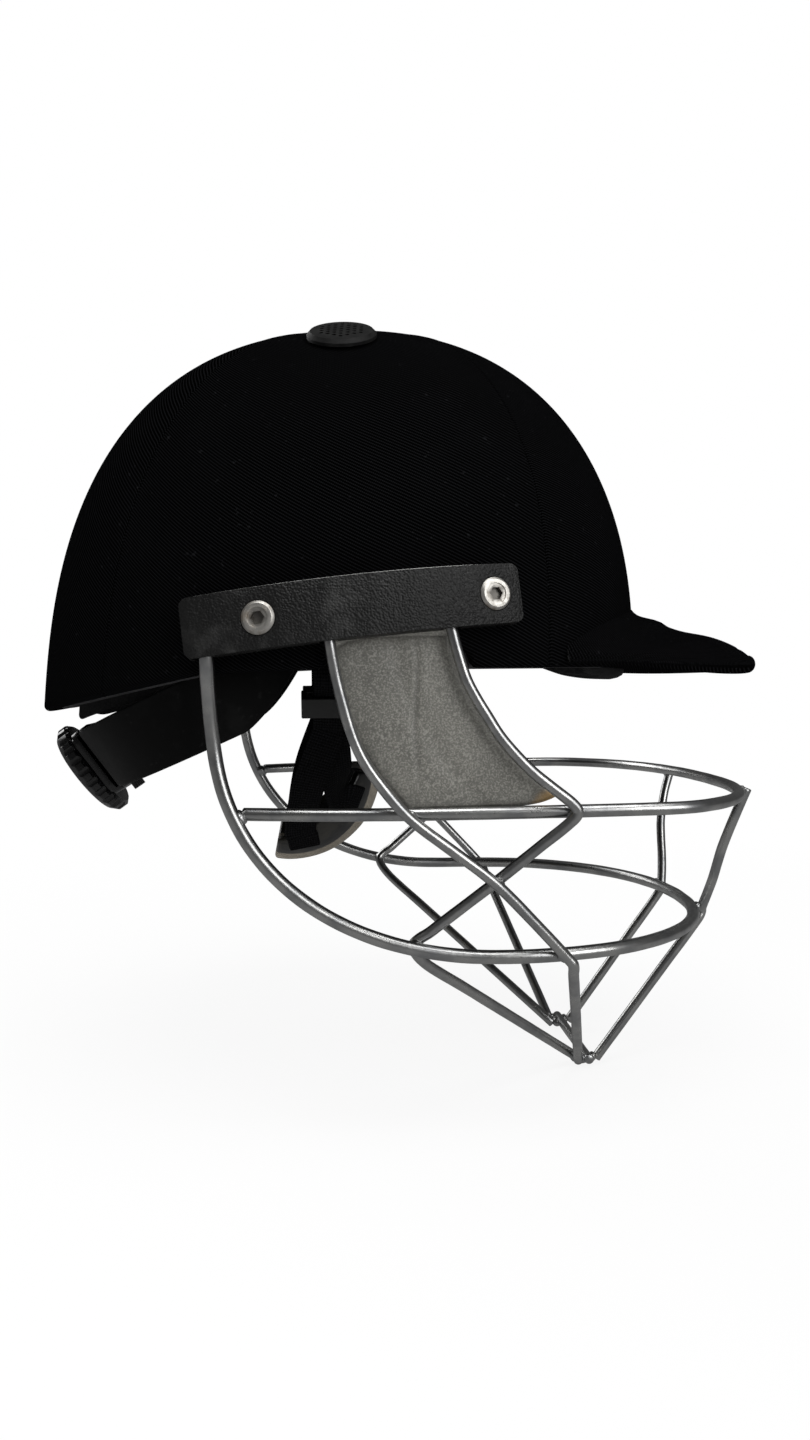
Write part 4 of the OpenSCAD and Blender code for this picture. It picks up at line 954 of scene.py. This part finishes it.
def rod(name, path, radius, seed):
    """A circle carried along the path, a little dented, with both ends rounded off."""
    along, across, up = carried_frames(path)
    turn = np.linspace(0, 2 * math.pi, wire_sides, endpoint=False)[None, :, None]
    drawn = loop_length(path, 0)[:, None, None]
    dents = np.sin(drawn * 310 + 2 * turn + seed) * np.sin(drawn * 97 + seed)
    girth = radius * (1 + wire_dents * dents)
    wall = path[:, None] + girth * (np.cos(turn) * across[:, None] + np.sin(turn) * up[:, None])

    def end(k, way):
        """The last ring drawn in and moved out, in two steps."""
        return [path[k] + (wall[[k]] - path[k]) * r + way * along[k] * radius * z
                for r, z in ((0.86, 0.12), (0.0, 0.16))]

    grid = np.concatenate(end(0, -1)[::-1] + [wall] + end(-1, 1))
    return grid_piece(name, grid, around=True, turned=True, heat=heat(grid))


centres = {node: tube_centres(node) for node in guard_d}
paths = {node: smooth_path(knots, 5) for node, knots in centres.items()}
for node in ("left_front_wire", "right_front_wire"):
    paths[node] = paths[node][paths[node][:, 2] < paths[node][:, 2].max() - tip_cut]


def closest(first, second):
    """The places where two paths come closest, in two stretches at most."""
    gaps = np.linalg.norm(first[:, None] - second[None], axis=-1)
    near = gaps.min(1)
    found = []
    for k in np.argsort(near):
        if all(np.linalg.norm(first[k] - first[other]) > weld_spacing for other, _ in found):
            found.append((k, gaps[k].argmin()))
        if len(found) == 2:
            break
    return found


welds = []
names = list(guard_d)
for k, one in enumerate(names):
    for other in names[k + 1:]:
        touch = (guard_d[one] + guard_d[other]) / 2
        for i, j in closest(paths[one], paths[other]):
            if np.linalg.norm(paths[one][i] - paths[other][j]) < touch + touch_slack:
                welds.append((one, i, other, j))
weld_places = np.array([(paths[a][i] + paths[b][j]) / 2 for a, i, b, j in welds])


def heat(points):
    """1 at a weld, fading within a few millimetres of it."""
    near = np.linalg.norm(points[..., None, :] - weld_places, axis=-1).min(-1)
    return np.exp(-(near / heat_reach) ** 2)


plated = Shader("plated_guard_wire", Metallic=1.0)
handled = plated.noise(75, 4, 0.6)
speckle = plated.noise(700, 3, 0.6)
heated = plated.attribute("heat")
rust = (heated * 0.55 + speckle * 0.7 + handled * 0.35).above(1.12, 0.14)
dull = plated.blend(handled.above(0.52, 0.3), (0.5, 0.5, 0.49), (0.34, 0.345, 0.35))
plated.set(Base_Color=plated.blend(rust * 0.75, dull, (0.12, 0.07, 0.045)),
           Roughness=handled * 0.22 + speckle * 0.1 + rust * 0.3 + 0.14)
plated.bump(speckle * 0.5 + handled * 0.3, 0.25 * mm, 0.35)
for seed, (node, path) in enumerate(paths.items()):
    wire = rod(node.replace("wire", "steel") + "_wire", path, guard_d[node] / 2, seed)
    finished(wire, plated, "helmet", "guard_steel", node)


def bead(a, i, b, j, seed):
    """A ball stretched along both wires and squeezed between them, with a rippled skin."""
    rng = np.random.default_rng(seed)
    first, second = paths[a], paths[b]
    run_a = unit(first[min(i + 1, len(first) - 1)] - first[max(i - 1, 0)])
    run_b = unit(second[min(j + 1, len(second) - 1)] - second[max(j - 1, 0)])
    run_b = run_b if run_a @ run_b > 0 else -run_b
    wide, gap = unit(run_a + run_b), unit(second[j] - first[i])
    wide = unit(wide - gap * (gap @ wide))
    theta = np.linspace(0, math.pi, bead_rows)[:, None]
    phi = np.linspace(0, 2 * math.pi, bead_columns, endpoint=False)
    ripple = (1 + 0.05 * np.sin(5 * phi + rng.uniform(0, 6)) * np.sin(theta)
              + 0.04 * np.sin(7 * theta + rng.uniform(0, 6)))
    size = (guard_d[a] + guard_d[b]) / 4 * ripple
    return ((first[i] + second[j]) / 2 + (1.25 * size * np.cos(theta))[..., None] * wide
            + (size * np.sin(theta) * np.cos(phi))[..., None] * np.cross(gap, wide)
            + (0.98 * size * np.sin(theta) * np.sin(phi))[..., None] * gap)


beads = np.array([bead(*weld, seed) for seed, weld in enumerate(welds)])
bead_quads = grid_quads(bead_rows, bead_columns, around=True)
bead_faces = [bead_quads + k * bead_rows * bead_columns for k in range(len(beads))]
guard_welds = piece_from("guard_welds", beads, np.concatenate(bead_faces),
                         heat=np.full(beads.shape[:-1], bead_heat))
finished(guard_welds, plated, "helmet", "guard_steel")


# The ear guards.
# Pads of grey moulded foam with a skin grained like leather. Each hangs from a thin flange under the
# steel strip, behind the cheek and jaw wires; the near one has a long crease and a yellowed corner.
ear_skin = Shader("ear_guard_skin")
pores = ear_skin.cells(520, Smoothness=0.8)
folds = ear_skin.noise(55, 6, 0.62)
smear = ear_skin.noise(26, 4, 0.6)
stain = ear_skin.attribute("stain")
grit = ear_skin.noise(1500, 2, 0.6)
edge = ear_skin.attribute("edge")
wrinkle = ear_skin.noise(170, 3, 0.6) * (ear_skin.attribute("brim") * 1.1 + 0.1)
skin_tone = ear_skin.blend(smear.above(0.5, 0.5), (0.095, 0.093, 0.081), (0.158, 0.154, 0.135))
skin_tone = ear_skin.blend(grit.above(0.56, 0.16) * 0.5, skin_tone, (0.30, 0.293, 0.262))
skin_tone = ear_skin.blend((0.44 - grit).above(0.0, 0.1) * 0.45, skin_tone, (0.07, 0.069, 0.062))
# Darker towards the pad's edges, and painted shade along the crease.
crease_shade_and_dark_edges = edge * 0.5 + ear_skin.attribute("crease") * 0.5
skin_tone = ear_skin.blend(crease_shade_and_dark_edges, skin_tone, (0.09, 0.088, 0.08))
yellowed = (stain * folds * 2.2).above(0.75, 0.4) * 0.8
ear_skin.set(Base_Color=ear_skin.blend(yellowed, skin_tone, (0.30, 0.19, 0.07)),
             Roughness=pores * 0.2 + smear * 0.2 + 0.3)
ear_skin.bump(pores * 0.5 + folds * 0.5 + wrinkle * 1.6, 0.5 * mm, 0.7)
ear_front_x = 16.4 * mm
ear_crease_x = 24 * mm
ear_rear_half = 22 * mm
rear_sweep = 24.5 * mm
front_sweep = 36 * mm
crease_depth = 1.0 * mm
ear_edge_t = 3 * mm
ear_middle_t = 9 * mm
flange_low = 0.75 * mm
flange_high = 1.75 * mm
ring_side_y = 100.2 * mm
ear_low_z = -46.4 * mm
side_lean = math.radians(5.7)
side_tilt = math.radians(6)
side_r = 150 * mm
side_mid = np.array([3, 99.5, 21]) * mm


def beside_shell(x, z, n):
    """A point at a place and height beside the shell, on its plan curve and this far out of it."""
    s = (x - side_mid[0]) * math.cos(side_tilt) + (z - side_mid[2]) * math.sin(side_tilt)
    out = np.sqrt((side_r + n) ** 2 - s * s) - side_r
    up = z - side_mid[2]
    return np.stack([x, side_mid[1] + out * math.cos(side_lean) - up * math.sin(side_lean),
                     side_mid[2] + out * math.sin(side_lean) + up * math.cos(side_lean)], -1)


def ear_guard(name, side, seed):
    """A grid from rear to front edge and from the flange down, thin at its edges."""
    a = (1 - np.cos(np.linspace(0, math.pi, 61))) / 2
    f = (1 - np.cos(np.linspace(0, math.pi, 81)))[:, None] / 2
    rng = np.random.default_rng(seed)
    rear_x = ear_x - ear_rear_half + rear_sweep * f ** 2.1
    front_x = ear_x + ear_front_x + front_sweep * f ** 1.7
    top_z = ear_top_z - 4 * mm - 4 * mm * (1 - a) ** 6
    slope = ease(f * 1.4)
    face_y = (shell_half_w + 1.4 * mm - 3.8 * mm * a) * (1 - slope) + ring_side_y * slope
    crown = pillow(2 * a - 1, 2 * f - 1)
    crease_at = (ear_crease_x - rear_x) / (front_x - rear_x) + 0.012 * np.sin(9 * f)
    crease = np.exp(-((a - crease_at) / 0.014) ** 2) * np.sin(math.pi * np.clip(f * 1.15, 0, 1)) ** 0.5
    hollow = np.exp(-((a - 0.52) / 0.08) ** 2)
    dents = sum(np.sin(a * p + f * q + r) for p, q, r in rng.uniform(3, 17, (5, 3))) / 5
    y = (face_y - 1.2 * mm * (1 - crown) - 0.5 * mm * hollow - crease_depth * crease
         + 0.25 * mm * dents * crown)
    x = rear_x + (front_x - rear_x) * a
    z = top_z + (ear_low_z - top_z) * f + 3 * mm * a ** 8 * f ** 6
    outer = np.stack([x, y, z], -1)
    inner = outer - (ear_edge_t + (ear_middle_t - ear_edge_t) * crown)[..., None] * np.array([0, 1, 0])
    flange_x = ear_x - ear_rear_half + (ear_front_x + ear_rear_half) * a
    flange_z = np.stack([side_mid[2] - 1 * mm + 0 * a, ear_top_z + 1 * mm + 0 * a, top_z + 0.8 * mm])
    flange = [beside_shell(flange_x + 0 * flange_z, flange_z, n) for n in (flange_high, flange_low)]
    mirror = np.array([1, side, 1])
    marks = {"edge": 1 - pillow(2 * a - 1, 2 * f - 1, 14, 0.8),
             "stain": np.clip((a - 0.5) * 2, 0, 1) ** 1.5 * f ** 10,
             "brim": 1 - pillow(2 * a - 1, 2 * f - 1, 4, 1), "crease": crease * crown}
    marks = {key: np.pad(mark, ((len(flange_z), 0), (0, 0))) for key, mark in marks.items()}
    return cushion(name, np.concatenate([flange[0], outer]) * mirror,
                   np.concatenate([flange[1], inner]) * mirror, **marks)


for side, sign in (("left", 1), ("right", -1)):
    ear = ear_guard(f"{side}_ear_pad", sign, 5)
    finished(ear, ear_skin, "helmet", "ear_foam", f"{side}_ear_guard")


# The harness arms.
# Two flexible bands of matt black plastic, moulded flat. Each swings on a stud in the shell, narrows
# towards it, and runs round the nape into the ratchet, where the two lie on each other.
band_w = 25 * mm
band_t = 1.4 * mm
band_half_w = 77 * mm
band_reach = 77 * mm
band_flat = 17 * mm
band_slope = math.radians(24)
dial_slope = math.radians(36)
band_place = np.array([-27, 0, -3]) * mm
band_back = np.array([-math.cos(band_slope), 0, -math.sin(band_slope)])
band_rise = np.array([-math.sin(band_slope), 0, math.cos(band_slope)])
sideways = np.array([0, 1, 0])
rack_end = 9 * mm
stud_back = -13 * mm
layer_gap = 0.15 * mm
low_rise = 15 * mm
high_rise = 6 * mm


def arm(name, side):
    """Straight across the nape, a quarter circle, then straight forward, with a row across at each.

    The band's lean to the dial's slope goes with the square of the turn's cosine, and both its edges
    rise to the stud, the lower one more.
    """
    corner = band_half_w - band_flat
    nape = np.linspace(-rack_end, band_flat, 16)[:-1]
    bend = np.linspace(0, math.pi / 2, 49)
    ahead = np.linspace(band_reach - corner, stud_back, 30)[1:]
    b = np.concatenate([0 * nape + band_reach, band_reach - corner + corner * np.cos(bend), ahead])
    y = np.concatenate([nape, band_flat + corner * np.sin(bend), 0 * ahead + band_half_w])
    turn = np.concatenate([0 * nape, bend, 0 * ahead + math.pi / 2])
    shift = np.concatenate([0 * nape + 1, 1 - ease(bend / math.radians(60)), 0 * ahead])
    shift *= side * (band_t / 2 + layer_gap)
    lean = ((dial_slope - band_slope) * np.cos(turn) ** 2)[:, None]
    across = np.stack([0 * turn, np.sin(turn), 0 * turn], -1) + np.cos(turn)[:, None] * band_back
    up = np.cos(lean) * band_rise + np.sin(lean) * across
    face = np.cos(lean) * across - np.sin(lean) * band_rise
    low = -band_w / 2 + low_rise * np.clip((15 * mm - b) / (28 * mm), 0, 1) ** 1.4
    high = band_w / 2 + high_rise * ease((14 * mm - b) / (20 * mm))
    h = (1 - np.cos(np.linspace(0, math.pi, 13))) / 2
    middle = band_place + b[:, None] * band_back + y[:, None] * sideways + shift[:, None] * face
    rise = low[:, None] * (1 - h) + high[:, None] * h
    spine = middle[:, None] + up[:, None] * rise[..., None]
    out = face[:, None] * band_t / 2
    mirror = np.array([1, side, 1])
    return cushion(name, (spine + out) * mirror, (spine - out) * mirror, rounds=3)


band = Shader("harness_plastic", Specular_IOR_Level=0.16)
drag = band.noise(40, 6, 0.7)
speck = band.noise(380, 2, 0.5).above(0.7, 0.04)
whitened = drag.above(0.62, 0.2) * 0.4 + speck * 0.6
band.set(Base_Color=band.blend(whitened, (0.0008, 0.0009, 0.0009), 0.008), Roughness=drag * 0.3 + 0.45)
band.bump(drag, 0.25 * mm, 0.3)
for side, sign in (("left", 1), ("right", -1)):
    strap = arm(f"{side}_band", sign)
    strap.data.materials.append(band.material)
    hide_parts(f"{side}_arm")
    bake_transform(strap)

studs = Shader("stud_plastic")
rubbed_stud = studs.noise(300)
studs.set(Base_Color=studs.blend(rubbed_stud, (0.01, 0.01, 0.011), 0.03),
          Roughness=rubbed_stud * 0.2 + 0.35)
dress("harness_rivets", studs)


# The ratchet and its dial.
# A moulded housing with a soft nape pad inside, and a ribbed knob on a toothed shaft between the racks.
gloss = Shader("ratchet_plastic")
smudge = gloss.noise(120, 5, 0.65)
gloss.set(Base_Color=gloss.blend(smudge, (0.0015, 0.0015, 0.0018), (0.006, 0.006, 0.0065)),
          Roughness=smudge * 0.25 + 0.14)
gloss.bump(smudge, 0.15 * mm, 0.3)
for name, node, radius, body, slot in (
        ("ratchet_shell", "ratchet_housing", 0.5 * mm, "cradle", "cover_plastic"),
        ("ratchet_back", "ratchet_cover", 0.3 * mm, "cradle", "cover_plastic"),
        ("dial_grip", "dial_knob", 0.4 * mm, "dial", "knob_plastic")):
    finished(softened(name, node, radius), gloss, body, slot, node)
dress("dial_pinion", studs)

dial_place = band_place + band_reach * band_back
dial_up = np.array([-math.sin(dial_slope), 0, math.cos(dial_slope)])
dial_out = np.array([-math.cos(dial_slope), 0, -math.sin(dial_slope)])
nape_back = 3.70 * mm
nape_half_w = 19.95 * mm
nape_half_h = 13.5 * mm
nape_edge = 1.2 * mm
nape_crown = 4.6 * mm
nape_channels = (-0.33, 0.33)
s, t, flat_s, flat_t = pad_grid(61, 61)
lift = nape_edge + nape_crown * pillow(flat_s, flat_t) * channels_at(flat_s, nape_channels)
nape_base = (dial_place - nape_back * dial_out + (t * nape_half_h)[..., None] * dial_up
             + (s * nape_half_w)[..., None] * sideways)
nape = cushion("nape_cushion", nape_base - lift[..., None] * dial_out, nape_base)
nape_seams = channels_at(flat_s, nape_channels, 0.035) > seam_line
swollen(nape, nape_seams & (np.abs(flat_s) < 0.94) & (np.abs(flat_t) < 0.94))
finished(nape, brushed, "cradle", "pad_cloth", "nape_pad")


# The chin strap.
# Black ribbed webbing, forked below its stud on each side; a slide adjuster sits above the fork.
strap_stud = np.array([-4, 79.6, 13]) * mm
webbing_w = 15 * mm
webbing_t = 1.5 * mm
rib_pitch = 1.3 * mm
cord_pitch = 1.0 * mm
cup_middle = np.array([-20, 0, -42]) * mm
cup_r = 38 * mm
cup_t = 3.6 * mm
cup_ripple = 0.1 * mm
bare_turn = math.radians(29)
fleece_t = 1.4 * mm


def on_cup(a, b, r):
    """A point of a sphere about the cup's middle: a turns from the front down, b towards the side."""
    flat = r * np.cos(b)
    return cup_middle + np.stack([flat * np.cos(a), r * np.sin(b), -flat * np.sin(a)], -1)


def webbing_run(name, knots, directions, width, side):
    """A flat band along a smooth path, its width kept square to the path."""
    path = smooth_path(np.array(knots), 10)
    turned = smooth_path(np.array(directions), 10)
    along = unit(np.gradient(path, axis=0))
    across = unit(turned - along * (along * turned).sum(-1, keepdims=True))
    out = np.cross(along, across)
    w = np.linspace(-0.5, 0.5, 13)[:, None]
    mirror = np.array([1, side, 1])
    spine = (path[:, None] + across[:, None] * w * width) * mirror
    half = out[:, None] * webbing_t / 2 * mirror
    run, place = np.broadcast_arrays(loop_length(path, 0)[:, None], w[:, 0] * width)
    return cushion(name, spine + half, spine - half, rounds=3, run=run, place=place)


def joined(name, *parts):
    """Several pieces as one mesh."""
    bpy.ops.object.select_all(action="DESELECT")
    for part in parts:
        part.select_set(True)
    bpy.context.view_layer.objects.active = parts[0]
    bpy.ops.object.join()
    parts[0].name = name
    parts[0].select_set(False)
    return parts[0]


webbing = Shader("strap_webbing", Specular_IOR_Level=0.05, Roughness=0.85)
rib = (webbing.attribute("run") * (2 * math.pi / rib_pitch)).math("SINE")
cords = (webbing.attribute("place") * (2 * math.pi / cord_pitch)).math("SINE")
fuzz = webbing.noise(800, 3, 0.7)
worn_fibre = rib * 0.2 + cords * 0.15 + fuzz * 0.6
webbing.set(Base_Color=webbing.blend(worn_fibre, (0.0007, 0.0007, 0.0009), (0.008, 0.008, 0.009)))
webbing.bump(rib * 0.3 + cords * 0.25 + fuzz * 0.3, 0.35 * mm, 0.8)
strap_across = np.array([1, 0, -0.15])
main_knots = strap_stud + mm * np.array([(0, 0, 6), (0, 0, -7), (0, -0.2, -16.2), (-0.25, -9.1, -24.5),
                                         (-0.5, -16, -34)])
fork = main_knots[-1]
branches = []
for turn, push in ((22, (0.5, 1.5, -1)), (80, (-2.5, 2, -2))):
    turn = math.radians(turn)
    across = np.array([math.sin(turn), 0, math.cos(turn)])
    seat = [on_cup(turn, math.radians(b), cup_r + webbing_t / 2 + clear * mm)
            for b, clear in ((60, 1.3), (50, 0.3), (41, 0.3))]
    branches.append(([fork, (fork + seat[0]) / 2 + np.array(push) * mm] + seat,
                     [strap_across, strap_across * 0.6 + across * 0.4, across, across, across]))
for side, sign in (("left", 1), ("right", -1)):
    main = webbing_run("main", main_knots, [strap_across] * 5, webbing_w - 2 * webbing_t, sign)
    ends = [webbing_run("branch", knots, ways, webbing_w * 0.75, sign) for knots, ways in branches]
    strap = joined(f"{side}_strap", main, *ends)
    finished(strap, webbing, "chin_strap", "webbing", f"{side}_webbing")
dress("strap_rivets", studs)
slider_plastic = Shader("slider_plastic")
flow = slider_plastic.noise(260, 3)
slider_plastic.set(Base_Color=slider_plastic.blend(flow, (0.0015, 0.0015, 0.0017), 0.006),
                   Roughness=flow * 0.2 + 0.3)
sliders = softened("strap_slide_adjusters", "strap_sliders", 0.5 * mm)
finished(sliders, slider_plastic, "chin_strap", "slider_plastic", "strap_sliders")


# The chin cup.
# A bowl pressed from taupe foam, lined with black fleece. Black faux leather is sewn over both its
# sides, over the ends of the straps, and leaves a band of the foam bare along the middle.
def cup_sheet(name, r, thick, reach, spread, rounds, bulge):
    """A patch of the sphere between two turns, drawn in at both ends, with its thickness inwards."""
    t = np.linspace(-1, 1, 61)[:, None]
    b = np.radians(spread * np.linspace(-1, 1, 73) * (1 - 0.22 * t * t))
    a = np.radians(reach[0] + (reach[1] - reach[0]) * (t + 1) / 2) + 0 * b
    outside = r + cup_ripple * np.sin(9 * a + 4 * b) * np.cos(7 * b - 3 * a)
    return cushion(name, on_cup(a, b, outside), on_cup(a, b, outside - thick), rounds, bulge,
                   side_turn=np.abs(b))


cup_foam = Shader("chin_cup_foam")
rolled_foam = cup_foam.noise(520, 4, 0.6)
soiling_and_sheen = cup_foam.noise(50, 4, 0.6)
covered = cup_foam.attribute("side_turn").above(bare_turn, 0.03)
bare = cup_foam.blend(soiling_and_sheen.above(0.5, 0.4), (0.16, 0.14, 0.11), (0.23, 0.205, 0.165))
# The same noise soils the bare foam for real, and lays patches of dark olive on the black faux leather
# as a painted sheen.
faux_leather = cup_foam.blend(soiling_and_sheen.above(0.52, 0.12), 0.0015, (0.016, 0.0145, 0.011))
cup_foam.set(Base_Color=cup_foam.blend(covered, bare, faux_leather),
             Roughness=rolled_foam * 0.15 + 0.75 - covered * 0.5)
cup_foam.bump(rolled_foam * (1 - covered * 0.7) + covered * 0.8, 0.4 * mm, 0.6)
cup = cup_sheet("chin_cup_bowl", cup_r, cup_t, (0, 100), 54, 7, 0.42)
finished(cup, cup_foam, "chin_strap", "cup_foam", "chin_cup")
lining = cup_sheet("chin_cup_fleece", cup_r - cup_t - 0.15 * mm, fleece_t, (4, 96), 48, 5, 0.45)
finished(lining, brushed, "chin_strap", "cup_fleece", "cup_lining")
